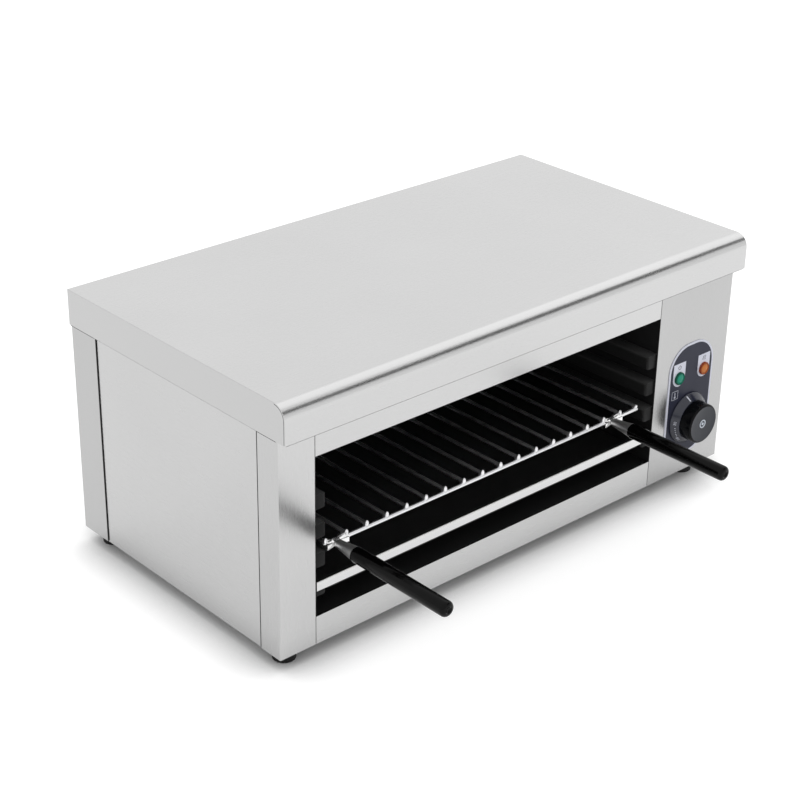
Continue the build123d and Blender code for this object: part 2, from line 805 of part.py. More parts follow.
def terminal_block():
    """Three-way block on the base plate near the gland."""
    wide, deep, high = terminal_block_size
    x = (gland_x() - wide / 2, gland_x() + wide / 2)
    y = (body_depth - 3 * gland_flats - deep, body_depth - 3 * gland_flats)
    body = block(x, y, (sheet, sheet + high))
    step = wide / 3
    for way in range(3):
        middle = x[0] + step * (way + 0.5)
        body -= rod_z(screw_diameter / 2, middle, (y[0] + y[1]) / 2, (sheet + high / 2, 2 * high))
        if way:
            cut = x[0] + step * way
            body -= block((cut - driver_slot / 2, cut + driver_slot / 2), (y[0] - sheet, y[1] + sheet),
                          (sheet + high / 2, 2 * high))
    return body


def cable_gland():
    """Threaded gland body in the rear panel, with a hexagonal flange and a rounded cap outside."""
    x, z = gland_x(), gland_level
    start = body_depth
    gland = hexagon_y(gland_flats, x, z, (start, start + gland_flange))
    cap = rod_y(gland_flats / 2, x, z, (start + gland_flange, start + gland_reach))
    cap = fillet(cap.edges().filter_by(GeomType.CIRCLE).sort_by(Axis.Y)[-1], gland_flange)
    thread = rod_y(gland_thread_diameter / 2, x, z, (start - sheet - 2 * gland_lock_nut, start))
    bore = (start - 4 * gland_lock_nut, start + 2 * gland_reach)
    return gland + cap + thread - rod_y(gland_bore_diameter / 2, x, z, bore)


def gland_nut():
    y = (body_depth - sheet - gland_lock_nut, body_depth - sheet)
    nut = hexagon_y(gland_flats, gland_x(), gland_level, y)
    return nut - rod_y(gland_thread_diameter / 2 + weld_gap, gland_x(), gland_level, (y[0] - sheet, y[1] + sheet))


def internal_wires():
    """Leads from the terminal block to the thermostat, the lamps and the first element."""
    wire = capillary_diameter
    bend = 3 * wire
    block_top = sheet + terminal_block_size[2]
    block_front = body_depth - 3 * gland_flats - terminal_block_size[1] / 2
    step = terminal_block_size[0] / 3
    ends = [(plate_centre_x + thermostat_size / 4, thermostat_back_of_panel() + thermostat_depth
             + terminal_length / 2, knob_level),
            (lamp_places()[1] + lamp_body_diameter / 4, lamp_body_length + terminal_length / 2, lamp_level)]
    leads = []
    for lead, (x, y, z) in enumerate(ends):
        start_x = gland_x() + step * lead
        points = [(start_x, block_front, block_top - wire), (start_x, block_front, z), (x, block_front, z), (x, y, z)]
        leads.append(tube_path(points, bend, wire / 2))
    return leads


# Feet and fasteners -------------------------------------------------------------------------------

def foot_places():
    columns = (foot_inset_left, body_width - foot_inset_right)
    rows = (foot_inset_ends, body_depth - foot_inset_ends)
    return [(x, y) for x in columns for y in rows]


def foot(x, y):
    """Rubber foot with a recess for its screw."""
    rubber = Pos(x, y, -foot_height) * Cone(foot_bottom_diameter / 2, foot_top_diameter / 2, foot_height,
                                            align=(Align.CENTER, Align.CENTER, Align.MIN))
    rubber = fillet(rubber.edges().filter_by(GeomType.CIRCLE).sort_by(Axis.Z)[0], sheet)
    rubber -= rod_z(foot_recess_diameter / 2, x, y, (-foot_height - sheet, -foot_height + foot_recess_depth))
    return rubber - rod_z(screw_diameter / 2 + screw_fit, x, y, (-foot_height, sheet))


def foot_screw(x, y):
    head_low = -foot_height + foot_recess_depth - screw_head_height
    head = rod_z(screw_head_diameter / 2, x, y, (head_low, head_low + screw_head_height))
    head = fillet(head.edges().filter_by(GeomType.CIRCLE).sort_by(Axis.Z)[0], sheet / 2)
    slot = screw_head_diameter
    head -= block((x - slot, x + slot), (y - driver_slot / 2, y + driver_slot / 2),
                  (head_low - sheet, head_low + screw_head_height / 2))
    return head + rod_z(screw_diameter / 2, x, y, (head_low + screw_head_height / 2, sheet + 2 * nut_height))


def foot_nut(x, y):
    nut = extrude(RegularPolygon(nut_flats / 2, 6, major_radius=False), nut_height)
    return Pos(x, y, sheet) * nut - rod_z(screw_diameter / 2 + weld_gap, x, y, (0, 2 * nut_height))


def panel_screw_places():
    """X and Z of the screws that hold the rear panel, three a side."""
    columns = (2 * sheet + panel_screw_inset, body_width - 2 * sheet - panel_screw_inset)
    rows = (panel_screw_inset, wall_top / 2, wall_top - panel_screw_inset)
    return [(x, z) for x in columns for z in rows]


def rear_screw(x, z):
    """Pan-head screw with a straight slot in the rear panel."""
    head = rod_y(screw_head_diameter / 2, x, z, (body_depth, body_depth + screw_head_height))
    head = fillet(head.edges().filter_by(GeomType.CIRCLE).sort_by(Axis.Y)[-1], sheet)
    half = screw_head_diameter
    head -= block((x - half, x + half), (body_depth + screw_head_height / 2, body_depth + 2 * screw_head_height),
                  (z - driver_slot / 2, z + driver_slot / 2))
    shank = screw_diameter / 2 - weld_gap
    return head + rod_y(shank, x, z, (body_depth - panel_screw_inset / 2, body_depth + screw_head_height / 2))


def write_parts():
    os.makedirs("parts", exist_ok=True)
    save("top_cover", top_cover())
    save("front_left_post", front_left_post())
    save("control_panel", control_panel())
    save("front_top_rail", front_top_rail())
    save("front_bottom_rail", front_bottom_rail())
    save("left_side_panel", left_side_panel())
    save("right_side_panel", right_side_panel())
    save("rear_panel", rear_panel())
    save("base_plate", base_plate())
    save("rear_corner_brackets", *rear_corner_brackets())
    save("left_cavity_wall", left_cavity_wall())
    save("right_cavity_wall", right_cavity_wall())
    save("left_rack_runners", *runners(left_liner, -1))
    save("right_rack_runners", *runners(right_liner, 1))
    save("cavity_back_wall", cavity_back_wall())
    save("cavity_floor_sheet", cavity_floor_sheet())
    save("heat_reflector", heat_reflector())
    save("insulation_blanket", insulation_blanket())
    for index, place in enumerate(("front", "middle", "rear")[:element_count]):
        save(f"heating_element_{place}", heating_element(index))
    save("element_terminals", *element_terminals())
    save("element_bushings", *element_bushings())
    save("element_hanger", element_hanger())
    save("element_links", *element_links())
    for index, place in enumerate(("front", "middle", "rear")):
        save(f"rack_{place}_bar", rack_bar(index))
    save("rack_wires", *rack_wires())
    for side, x in zip(("left", "right"), handle_places()):
        save(f"{side}_handle_clip", handle_clip(x))
        save(f"{side}_handle_ferrule", handle_ferrule(x))
        save(f"{side}_handle_grip", handle_grip(x))
    save("handle_rods", *[handle_rod(x) for x in handle_places()])
    save("crumb_tray", crumb_tray())
    save("control_plate", control_plate())
    save("plate_border", plate_border())
    save("lamp_tags", *[lamp_tag(x) for x in lamp_places()])
    for colour, x in zip(("green", "amber"), lamp_places()):
        save(f"{colour}_lamp_lens", lamp_lens(x))
    save("lamp_holders", *[lamp_body(x) for x in lamp_places()])
    save("knob_skirt", knob_skirt())
    save("knob_cap", knob_cap())
    save("knob_badge", knob_badge())
    save("knob_spindle", knob_spindle())
    save("thermostat_bracket", thermostat_bracket())
    save("thermostat_body", thermostat_body())
    save("sensor_bulb", sensor_bulb())
    save("sensor_clips", *sensor_clips())
    save("sensor_capillary", sensor_capillary())
    save("terminal_block", terminal_block())
    save("cable_gland", cable_gland())
    save("gland_nut", gland_nut())
    save("internal_wires", *internal_wires())
    save("feet", *[foot(x, y) for x, y in foot_places()])
    save("foot_screws", *[foot_screw(x, y) for x, y in foot_places()])
    save("foot_nuts", *[foot_nut(x, y) for x, y in foot_places()])
    save("rear_screws", *[rear_screw(x, z) for x, z in panel_screw_places()])


write_parts()
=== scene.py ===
"""Countertop cheese melter: satin stainless cabinet, blackened cavity, wire rack on two grips, crumb
tray and thermostat column, photographed on a white floor. Metres; real sizes are written in mm."""
import math

import bmesh
import bpy
from mathutils import Matrix, Quaternion, Vector


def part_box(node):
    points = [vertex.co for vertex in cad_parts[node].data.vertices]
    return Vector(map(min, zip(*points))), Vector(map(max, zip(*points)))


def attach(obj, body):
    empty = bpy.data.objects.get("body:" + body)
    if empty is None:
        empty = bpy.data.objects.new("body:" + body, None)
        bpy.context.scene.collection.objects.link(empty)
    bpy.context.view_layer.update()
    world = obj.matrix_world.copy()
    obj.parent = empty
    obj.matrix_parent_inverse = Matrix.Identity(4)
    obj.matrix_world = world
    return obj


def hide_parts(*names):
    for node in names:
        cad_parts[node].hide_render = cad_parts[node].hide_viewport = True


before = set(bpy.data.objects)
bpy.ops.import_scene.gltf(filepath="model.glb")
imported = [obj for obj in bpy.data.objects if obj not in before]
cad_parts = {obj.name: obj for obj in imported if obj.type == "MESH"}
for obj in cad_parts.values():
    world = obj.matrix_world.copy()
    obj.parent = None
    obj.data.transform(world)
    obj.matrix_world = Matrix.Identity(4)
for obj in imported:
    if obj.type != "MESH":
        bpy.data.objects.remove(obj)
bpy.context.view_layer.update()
MM = 0.001

# Cabinet sheets -----------------------------------------------------------------------------------
# The casing is folded from 1 mm stainless sheet with a fine satin polish: lid, left post, control
# column, two rails, side panels and a rear panel that wraps round the corners. The press leaves each
# outer fold with a radius of about its own thickness; the cut edges stay sharp.
FOLD_RADIUS = 0.9 * MM
FOLD_LENGTH = 30 * MM
FOLD_WIDTH = 6 * MM
SHARP_TURN = math.radians(35)
FLAT_ENOUGH = math.radians(0.5)
MERGE_DISTANCE = 0.002 * MM


def linear(colour):
    """Linear RGBA of an sRGB hex colour."""
    parts = [int(colour[at:at + 2], 16) / 255 for at in (1, 3, 5)]
    return [c / 12.92 if c <= 0.04045 else ((c + 0.055) / 1.055) ** 2.4 for c in parts] + [1.0]


def add_node(tree, kind, inputs=(), **settings):
    """Add one shader node; inputs are socket values, or the outputs that feed them.

    A Mix node of colours takes them as inputs 6 and 7, and gives the mix as output 2."""
    node = tree.nodes.new("ShaderNode" + kind)
    for name, value in settings.items():
        setattr(node, name, value)
    for socket, value in dict(inputs).items():
        if isinstance(value, bpy.types.NodeSocket):
            tree.links.new(value, node.inputs[socket])
        else:
            node.inputs[socket].default_value = value
    return node


def start_finish(name, **constants):
    """New material with its Principled shader; returns it with its tree, shader and place."""
    material = bpy.data.materials.new(name)
    material.use_nodes = True
    tree = material.node_tree
    tree.nodes.clear()
    named = {key.replace("_", " "): value for key, value in constants.items()}
    shader = add_node(tree, "BsdfPrincipled", named)
    add_node(tree, "OutputMaterial", {"Surface": shader.outputs["BSDF"]})
    place = add_node(tree, "TexCoord").outputs["Object"]
    return material, tree, shader, place


LINE_STRETCH = 60
TONE_CLOUD = 140 * MM
SHEET_HILL = 170 * MM
POLISH_DEPTH = 0.01 * MM
POLISH_SPREAD = 0.006
SIDE_SHADE_SHARE = (1.0, 0.45, 0.0)


def satin_metal(name, light, dark, roughness, grain, line, wave=0.0, side_shade=None):
    """Polished metal: fine lines along the grain, cloudy tone, and the slight wave of thin sheet.

    grain is the axis of the polishing lines, line their spacing in mm, wave the sheet's unevenness in
    mm, and the last argument a darker tone painted on upright faces as shade, fullest on faces
    towards X."""
    material, tree, shader, place = start_finish(name, Metallic=1.0)
    across = 1 / (line * MM)
    stretch = [across if axis != grain else across / LINE_STRETCH for axis in range(3)]
    lines_at = add_node(tree, "Mapping", {"Vector": place, "Scale": stretch})
    lines = add_node(tree, "TexNoise", {"Vector": lines_at.outputs[0], "Scale": 1.0, "Detail": 3.0})
    cloud = add_node(tree, "TexNoise", {"Vector": place, "Scale": 1 / TONE_CLOUD, "Detail": 4.0})
    tone = add_node(tree, "Mix", {"Factor": cloud.outputs["Fac"], 6: linear(light), 7: linear(dark)},
                    data_type="RGBA")
    # Painted shade: upright faces are mixed towards a darker tone, most on faces towards X.
    if side_shade:
        turned_to = add_node(tree, "VectorMath", {0: add_node(tree, "NewGeometry").outputs["Normal"]},
                             operation="ABSOLUTE")
        share = add_node(tree, "VectorMath", {0: turned_to.outputs[0], 1: SIDE_SHADE_SHARE},
                         operation="DOT_PRODUCT")
        tone = add_node(tree, "Mix", {"Factor": share.outputs["Value"], 6: tone.outputs[2],
                                      7: linear(side_shade)},
                        data_type="RGBA")
    tree.links.new(tone.outputs[2], shader.inputs["Base Color"])
    rough = add_node(tree, "MapRange", {"Value": lines.outputs["Fac"], "From Min": 0.3, "From Max": 0.7,
                                        "To Min": roughness - POLISH_SPREAD,
                                        "To Max": roughness + POLISH_SPREAD})
    tree.links.new(rough.outputs[0], shader.inputs["Roughness"])
    polish = add_node(tree, "Bump", {"Height": lines.outputs["Fac"], "Strength": 0.01,
                                     "Distance": POLISH_DEPTH})
    if wave:
        hills = add_node(tree, "TexNoise", {"Vector": place, "Scale": 1 / SHEET_HILL, "Detail": 1.0})
        polish = add_node(tree, "Bump", {"Height": hills.outputs["Fac"], "Strength": 1.0,
                                         "Distance": wave * MM, "Normal": polish.outputs[0]})
    tree.links.new(polish.outputs[0], shader.inputs["Normal"])
    return material


# Stainless 430 sheet, rolled and polished along its length: light grey and bright, with soft
# reflections. The lines are about 0.1 mm apart and are drawn at 0.5 mm, so that they show.
STAINLESS_ROUGHNESS = 0.27
SHEET_LINE = 0.5
# The sheet comes in lit and shaded copies: the rear panel, the side panels and the control column are
# given darker tones than the lid, rails and post as painted shade.
sheet_along_x = satin_metal("stainless_sheet_along_x", "#D5D5D5", "#CFCFCF", STAINLESS_ROUGHNESS,
                            0, SHEET_LINE, wave=0.5, side_shade="#BCBCBC")
shaded_rear_sheet = satin_metal("stainless_rear_sheet_painted_shade", "#CDCDCD", "#C6C6C6", STAINLESS_ROUGHNESS,
                         0, SHEET_LINE, wave=0.5, side_shade="#B4B4B4")
shaded_side_sheet = satin_metal("stainless_side_sheet_painted_shade", "#C2C2C2", "#BCBCBC", STAINLESS_ROUGHNESS,
                            1, SHEET_LINE, wave=0.8)
sheet_upright = satin_metal("stainless_sheet_upright", "#D5D5D5", "#CFCFCF", STAINLESS_ROUGHNESS,
                            2, SHEET_LINE, wave=0.5, side_shade="#BBBBBB")
shaded_column_sheet = satin_metal("stainless_column_sheet_painted_shade", "#BBBBBB", "#B4B4B4", STAINLESS_ROUGHNESS,
                           2, SHEET_LINE, wave=0.5)
# The same sheet on the lid's rounded folds: duller than the flats, and darker as painted shade,
# which draws a dark line along each fold.
fold_shade_sheet = satin_metal("stainless_fold_painted_shade", "#ABABAB", "#9C9C9C", 0.4, 0, 0.8)


def dress(finish, *nodes):
    """Give CAD nodes their finish."""
    for node in nodes:
        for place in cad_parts[node].material_slots:
            place.material = finish


def make_piece(name, shape, finish, body, slot, *stands_for):
    """Turn a bmesh into a piece with smooth faces that stay sharp at hard corners."""
    mesh = bpy.data.meshes.new(name)
    shape.to_mesh(mesh)
    shape.free()
    mesh.shade_smooth()
    mesh.set_sharp_from_angle(angle=SHARP_TURN)
    mesh.materials.append(finish)
    piece = bpy.data.objects.new(name, mesh)
    bpy.context.scene.collection.objects.link(piece)
    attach(piece, body)
    if stands_for:
        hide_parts(*stands_for)
    return piece


def merged_copy(node):
    """Copy of a CAD node's shape with its loose triangles merged into whole faces."""
    shape = bmesh.new()
    shape.from_mesh(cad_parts[node].data)
    bmesh.ops.remove_doubles(shape, verts=shape.verts, dist=MERGE_DISTANCE)
    bmesh.ops.dissolve_limit(shape, angle_limit=FLAT_ENOUGH, verts=shape.verts, edges=shape.edges)
    return shape


def folded_sheet(node, name, finish, body="cabinet", slot="stainless", fold_shade_finish=None):
    """Sheet of a CAD node with its outer folds rounded: its long edges between two wide faces.

    The last argument is a duller finish for the rounded folds, darker than the flats as painted
    shade along them."""
    shape = merged_copy(node)
    folds = [edge for edge in shape.edges if len(edge.link_faces) == 2 and edge.is_convex
             and edge.calc_face_angle() > SHARP_TURN and edge.calc_length() > FOLD_LENGTH
             and all(face.calc_area() > FOLD_WIDTH * edge.calc_length() for face in edge.link_faces)]
    bmesh.ops.bevel(shape, geom=folds, offset=FOLD_RADIUS, segments=3, profile=0.5, affect="EDGES",
                    clamp_overlap=True, material=1 if fold_shade_finish else -1)
    piece = make_piece(name, shape, finish, body, slot, node)
    if fold_shade_finish:
        piece.data.materials.append(fold_shade_finish)
    flat = piece.modifiers.new("flat_faces_stay_flat", "WEIGHTED_NORMAL")
    flat.keep_sharp = True
    return piece


folded_sheet("top_cover", "folded_lid", sheet_along_x, fold_shade_finish=fold_shade_sheet)
folded_sheet("front_left_post", "folded_left_post", sheet_upright)
folded_sheet("control_panel", "folded_control_column", shaded_column_sheet)
folded_sheet("front_top_rail", "folded_top_rail", sheet_along_x)
folded_sheet("front_bottom_rail", "folded_bottom_rail", sheet_along_x)
folded_sheet("rear_panel", "folded_rear_panel", shaded_rear_sheet)
dress(shaded_side_sheet, "left_side_panel", "right_side_panel")
dress(sheet_along_x, "base_plate")

# Shadow-gap strips --------------------------------------------------------------------------------
# Thin black strips in the joints between the sheets are painted shade, a fine dark line where the
# gaps lie in shadow: beside the rails and side panels, under the lid's edges, and in the slits at
# its rounded corners.


def strip(shape, low, high):
    """Add a strip of painted shade between two corners and break its edges."""
    size = Vector(high) - Vector(low)
    middle = (Vector(high) + Vector(low)) / 2
    made = bmesh.ops.create_cube(shape, size=1.0,
                                 matrix=Matrix.Translation(middle) @ Matrix.Diagonal((*size, 1.0)))
    edges = dict.fromkeys(edge for vert in made["verts"] for edge in vert.link_edges)
    bmesh.ops.bevel(shape, geom=list(edges), offset=min(size) / 5, segments=1, profile=0.5,
                    affect="EDGES", clamp_overlap=True, material=-1)


post_low, post_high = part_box("front_left_post")
rear_low, rear_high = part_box("rear_panel")
lid_low, lid_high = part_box("top_cover")
left_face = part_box("left_side_panel")[0].x
right_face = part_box("right_side_panel")[1].x
column_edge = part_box("control_panel")[0].x
REAR_WRAP = 39.5 * MM
SIDE_GAP_WIDTH = 1.5 * MM
LID_BEND = 14 * MM
BEND_STEPS = 12
SLIT_DEPTHS = (1.0 * MM, 1.6 * MM)
SLIT_WIDTH = 0.8 * MM
shadow_gap_strips = bmesh.new()
# Upright, beside the ends of the two rails.
for edge_x in (post_high.x, column_edge - 0.5 * MM):
    strip(shadow_gap_strips, (edge_x - 0.15 * MM, post_low.y - 0.1 * MM, post_low.z + 1 * MM),
          (edge_x + 0.65 * MM, post_low.y + 0.95 * MM, lid_low.z + 10 * MM))
# Upright, beside the side panels.
for outer_x, inner_x in ((left_face - 0.9 * MM, left_face), (right_face, right_face + 0.9 * MM)):
    for edge_y in (post_high.y, rear_high.y - REAR_WRAP - 0.8 * MM):
        strip(shadow_gap_strips, (outer_x, edge_y, post_low.z + 1 * MM),
              (inner_x, edge_y + SIDE_GAP_WIDTH, lid_low.z + 2 * MM))
# Under the lid's sides: over the front posts and the rear panel's wraps, then over the side panels.
for outer_x, inner_x in ((lid_low.x + 0.2 * MM, rear_low.x), (rear_high.x, lid_high.x - 0.2 * MM)):
    for near_y, far_y in ((post_low.y + 0.5 * MM, post_high.y),
                          (rear_high.y - REAR_WRAP, rear_high.y - 0.5 * MM)):
        strip(shadow_gap_strips, (outer_x, near_y, lid_low.z - 0.9 * MM), (inner_x, far_y, lid_low.z + 1 * MM))
for outer_x, inner_x in ((left_face - 1.4 * MM, left_face), (right_face, right_face + 1.4 * MM)):
    strip(shadow_gap_strips, (outer_x, post_high.y, lid_low.z - 1.2 * MM),
          (inner_x, rear_high.y - REAR_WRAP, lid_low.z + 1 * MM))
# Under the lid's front and rear edges.
strip(shadow_gap_strips, (lid_low.x + 1.5 * MM, lid_low.y + 0.25 * MM, lid_low.z - 0.45 * MM),
      (lid_high.x - 1.5 * MM, lid_low.y + 1.2 * MM, lid_low.z + 0.1 * MM))
strip(shadow_gap_strips, (rear_low.x + 1 * MM, rear_high.y, lid_low.z - 0.5 * MM),
      (rear_high.x - 1 * MM, lid_high.y - 0.2 * MM, lid_low.z + 1 * MM))
# In the slits between the lid's bend and its side flanges, up the front and round the bend.
for slit_x in (lid_low.x + 0.12 * MM, lid_high.x - 0.92 * MM):
    ends = [shadow_gap_strips.verts.new((slit_x, lid_low.y + depth, lid_low.z + 1.2 * MM))
            for depth in SLIT_DEPTHS]
    raised = bmesh.ops.extrude_edge_only(shadow_gap_strips, edges=[shadow_gap_strips.edges.new(ends)])["geom"]
    top_ends = [item for item in raised if isinstance(item, bmesh.types.BMVert)]
    top_edge = [item for item in raised if isinstance(item, bmesh.types.BMEdge)
                and set(item.verts) == set(top_ends)]
    walls = [item for item in raised if isinstance(item, bmesh.types.BMFace)]
    bmesh.ops.translate(shadow_gap_strips, verts=top_ends, vec=(0, 0, lid_high.z - LID_BEND - ends[0].co.z))
    before = set(shadow_gap_strips.faces)
    bmesh.ops.spin(shadow_gap_strips, geom=top_ends + top_edge, axis=(1, 0, 0), angle=math.radians(-90),
                   steps=BEND_STEPS, cent=(slit_x, lid_low.y + LID_BEND, lid_high.z - LID_BEND))
    walls += [face for face in shadow_gap_strips.faces if face not in before]
    grown = bmesh.ops.extrude_face_region(shadow_gap_strips, geom=walls)["geom"]
    bmesh.ops.translate(shadow_gap_strips, verts=[item for item in grown if isinstance(item, bmesh.types.BMVert)],
                        vec=(SLIT_WIDTH, 0, 0))
bmesh.ops.recalc_face_normals(shadow_gap_strips, faces=shadow_gap_strips.faces)
# Painted shade for the gaps: matt black, with random paler patches.
silicone, tree, shader, place = start_finish("painted_gap_shade_black", Roughness=0.7)
shader.inputs["Specular IOR Level"].default_value = 0.1
ripple = add_node(tree, "TexNoise", {"Vector": place, "Scale": 1 / (6 * MM), "Detail": 2.0})
tone = add_node(tree, "Mix", {"Factor": ripple.outputs["Fac"],
                              6: linear("#101010"), 7: linear("#3A3A3A")}, data_type="RGBA")
tree.links.new(tone.outputs[2], shader.inputs["Base Color"])
make_piece("painted_shadow_gaps", shadow_gap_strips, silicone, "cabinet", "rubber_black")

# Rear corner brackets -----------------------------------------------------------------------------
# Two zinc-plated steel angles stand inside the rear corners and take the rear panel's screws. The
# thermostat's bracket, the element hanger and the bulb's clips are cut from the same strip.

# Zinc-plated steel strip: pale bluish grey with a dull sheen.
zinc_plate = satin_metal("zinc_plated_strip", "#CBCDD0", "#B9BCC0", 0.42, 2, 1.5)
dress(zinc_plate, "rear_corner_brackets", "thermostat_bracket", "element_hanger", "sensor_clips")

# Cavity -------------------------------------------------------------------------------------------
# Liner sheets round the cooking space, coated with a matt heat-proof black that takes the light: side
# walls, back wall, floor and the reflector above the elements, spot-welded to each other.
COATING_CLOUD = 60 * MM
COATING_SPREAD = 0.08
PEBBLE_DEPTH = 0.05 * MM


def coated_steel(name, light, dark, roughness, speck, top_light=None, gloss=0.35):
    """Sprayed heat-proof coating: matt, with a fine pebbled skin of the given grain in mm.

    The argument after speck is a lighter tone for faces that look up: painted light."""
    material, tree, shader, place = start_finish(name, Metallic=0.0)
    shader.inputs["Specular IOR Level"].default_value = gloss
    grain = add_node(tree, "TexNoise", {"Vector": place, "Scale": 1 / (speck * MM), "Detail": 2.0})
    cloud = add_node(tree, "TexNoise", {"Vector": place, "Scale": 1 / COATING_CLOUD, "Detail": 5.0})
    tone = add_node(tree, "Mix", {"Factor": cloud.outputs["Fac"], 6: linear(light), 7: linear(dark)},
                    data_type="RGBA")
    # Painted light: faces that look up are mixed towards the lighter tone.
    if top_light:
        turned_to = add_node(tree, "SeparateXYZ", {0: add_node(tree, "NewGeometry").outputs["Normal"]})
        share = add_node(tree, "MapRange", {"Value": turned_to.outputs["Z"], "From Min": 0.2,
                                            "From Max": 0.9, "To Max": 0.8})
        tone = add_node(tree, "Mix", {"Factor": share.outputs[0], 6: tone.outputs[2], 7: linear(top_light)},
                        data_type="RGBA")
    tree.links.new(tone.outputs[2], shader.inputs["Base Color"])
    rough = add_node(tree, "MapRange", {"Value": cloud.outputs["Fac"], "From Min": 0.3, "From Max": 0.7,
                                        "To Min": roughness - COATING_SPREAD,
                                        "To Max": roughness + COATING_SPREAD})
    tree.links.new(rough.outputs[0], shader.inputs["Roughness"])
    skin = add_node(tree, "Bump", {"Height": grain.outputs["Fac"], "Strength": 0.3,
                                   "Distance": PEBBLE_DEPTH})
    tree.links.new(skin.outputs[0], shader.inputs["Normal"])
    return material


# Baked silicone-resin coating: a deep matt black with a faint cloudiness.
cavity_coating = coated_steel("black_heat_proof_coating", "#1F1F1F", "#181819", 0.5, 0.8)
dress(cavity_coating, "left_cavity_wall", "right_cavity_wall", "cavity_back_wall",
      "cavity_floor_sheet", "heat_reflector")

# Rack runners -------------------------------------------------------------------------------------
# Four hollow ribs a side, pressed from the same coated sheet, with rounded noses. The rack and the
# tray slide on them.

# The same coating with painted light: lighter on the faces that look up, and a painted highlight on
# the rounded edges.
runner_coating_top_lit = coated_steel("runner_coating_painted_top_light", "#262626", "#1A1A1A", 0.45, 0.8, top_light="#464646",
                              gloss=0.12)
runner_edge_highlight = coated_steel("runner_edge_painted_highlight", "#707070", "#484848", 0.35, 0.8, gloss=0.5)
RUNNER_EDGE = 0.9 * MM
SHORT_EDGE = 2.5 * MM
for side in ("left", "right"):
    ribs = merged_copy(f"{side}_rack_runners")
    highlit_edges = [edge for edge in ribs.edges if len(edge.link_faces) == 2 and edge.is_convex
              and edge.calc_face_angle() > SHARP_TURN and edge.calc_length() > SHORT_EDGE]
    bmesh.ops.bevel(ribs, geom=highlit_edges, offset=RUNNER_EDGE, segments=3, profile=0.5, affect="EDGES",
                    clamp_overlap=True, material=1)
    runners = make_piece(f"{side}_pressed_runners", ribs, runner_coating_top_lit, "cabinet", "cavity_steel",
                         f"{side}_rack_runners")
    runners.data.materials.append(runner_edge_highlight)

# Insulation blanket -------------------------------------------------------------------------------
# A blanket of needled ceramic fibre, cut to size and laid between the reflector and the lid, which
# it keeps cool.

# Ceramic fibre: chalk white, matt all over, soft and matted.
blanket, tree, shader, place = start_finish("ceramic_fibre_blanket", Roughness=0.95)
fibre = add_node(tree, "TexNoise", {"Vector": place, "Scale": 1 / (2.5 * MM), "Detail": 8.0})
tone = add_node(tree, "Mix", {"Factor": fibre.outputs["Fac"],
                              6: linear("#F1EFE8"), 7: linear("#D9D5C9")}, data_type="RGBA")
tree.links.new(tone.outputs[2], shader.inputs["Base Color"])
matting = add_node(tree, "Bump", {"Height": fibre.outputs["Fac"], "Strength": 0.8,
                                  "Distance": 0.6 * MM})
tree.links.new(matting.outputs[0], shader.inputs["Normal"])
dress(blanket, "insulation_blanket")

# Heating elements ---------------------------------------------------------------------------------
# Three hairpins of sheathed heating tube, 8 mm thick, with studs, bushings and links on their cold
# ends behind the right wall.

# Stainless sheath oxidised by its own heat: dark brown-grey and matt.
oxidised = coated_steel("oxidised_element_sheath", "#4A423C", "#2C2B2E", 0.48, 1.2)
dress(oxidised, "heating_element_front", "heating_element_middle", "heating_element_rear")
# Turned brass: warm yellow, with fine turning lines.
brass = satin_metal("turned_brass", "#D3B36B", "#B9954C", 0.28, 0, 0.5)
dress(brass, "element_terminals", "element_bushings", "element_links")

# Wire rack ----------------------------------------------------------------------------------------
# Eighteen wires of 4 mm lie on three cross bars and are resistance-welded to them at each crossing.
# The shears pinch the wires' front ends into upright ovals, but for the last one, at the bar's end.

# Nickel-chrome plate on drawn wire: nearly white metal, its reflections softened by the drawn skin.
plated_wire = satin_metal("nickel_chrome_plate", "#F4F4F5", "#E9E9EB", 0.33, 1, 8.0)
WIRE_COUNT = 18
WIRE_SIDES = 20
WIRE_END_ROUND = 1.3 * MM
PINCHED_END = (2.1 * MM, 1.9 * MM, 3.3 * MM)
PINCH_BACK = 1.5 * MM
PINCH_RISE = 0.7 * MM
WELD_SIZE = (2.6 * MM, 3.0 * MM, 1.3 * MM)
BAR_RADIUS = 2.0 * MM
BAR_SIDES = 24
BAR_END_ROUND = 0.6 * MM
BAR_INSIDE_CLIP = 4.5 * MM
BAR_PAST_WIRE = 1.5 * MM


def round_bar(shape, start, end, radius, sides, end_round):
    """Add a round bar along one axis between two points, with softly rounded ends."""
    length = (end - start).length
    turn = (end - start).to_track_quat("Z", "Y").to_matrix().to_4x4()
    made = bmesh.ops.create_cone(shape, cap_ends=True, segments=sides, radius1=radius, radius2=radius,
                                 depth=length, matrix=Matrix.Translation((start + end) / 2) @ turn)
    rims = dict.fromkeys(edge for vert in made["verts"] for edge in vert.link_edges
                         if any(len(face.verts) > 4 for face in edge.link_faces))
    bmesh.ops.bevel(shape, geom=list(rims), offset=end_round, segments=3, profile=0.5,
                    affect="EDGES", clamp_overlap=True, material=-1)


low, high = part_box("rack_wires")
wire_radius = (high.z - low.z) / 2
wire_step = (high.x - low.x - 2 * wire_radius) / (WIRE_COUNT - 1)
wire_places = [low.x + wire_radius + wire_step * count for count in range(WIRE_COUNT)]
wires = bmesh.new()
for across in wire_places:
    round_bar(wires, Vector((across, low.y, low.z + wire_radius)),
              Vector((across, high.y, low.z + wire_radius)), wire_radius, WIRE_SIDES, WIRE_END_ROUND)
    if across != wire_places[-1]:
        pinch = Matrix.Translation((across, low.y + PINCH_BACK, low.z + wire_radius + PINCH_RISE))
        bmesh.ops.create_uvsphere(wires, u_segments=16, v_segments=10, radius=1.0,
                                  matrix=pinch @ Matrix.Diagonal((*PINCHED_END, 1.0)))
make_piece("round_ended_wires", wires, plated_wire, "rack", "bright_wire", "rack_wires")

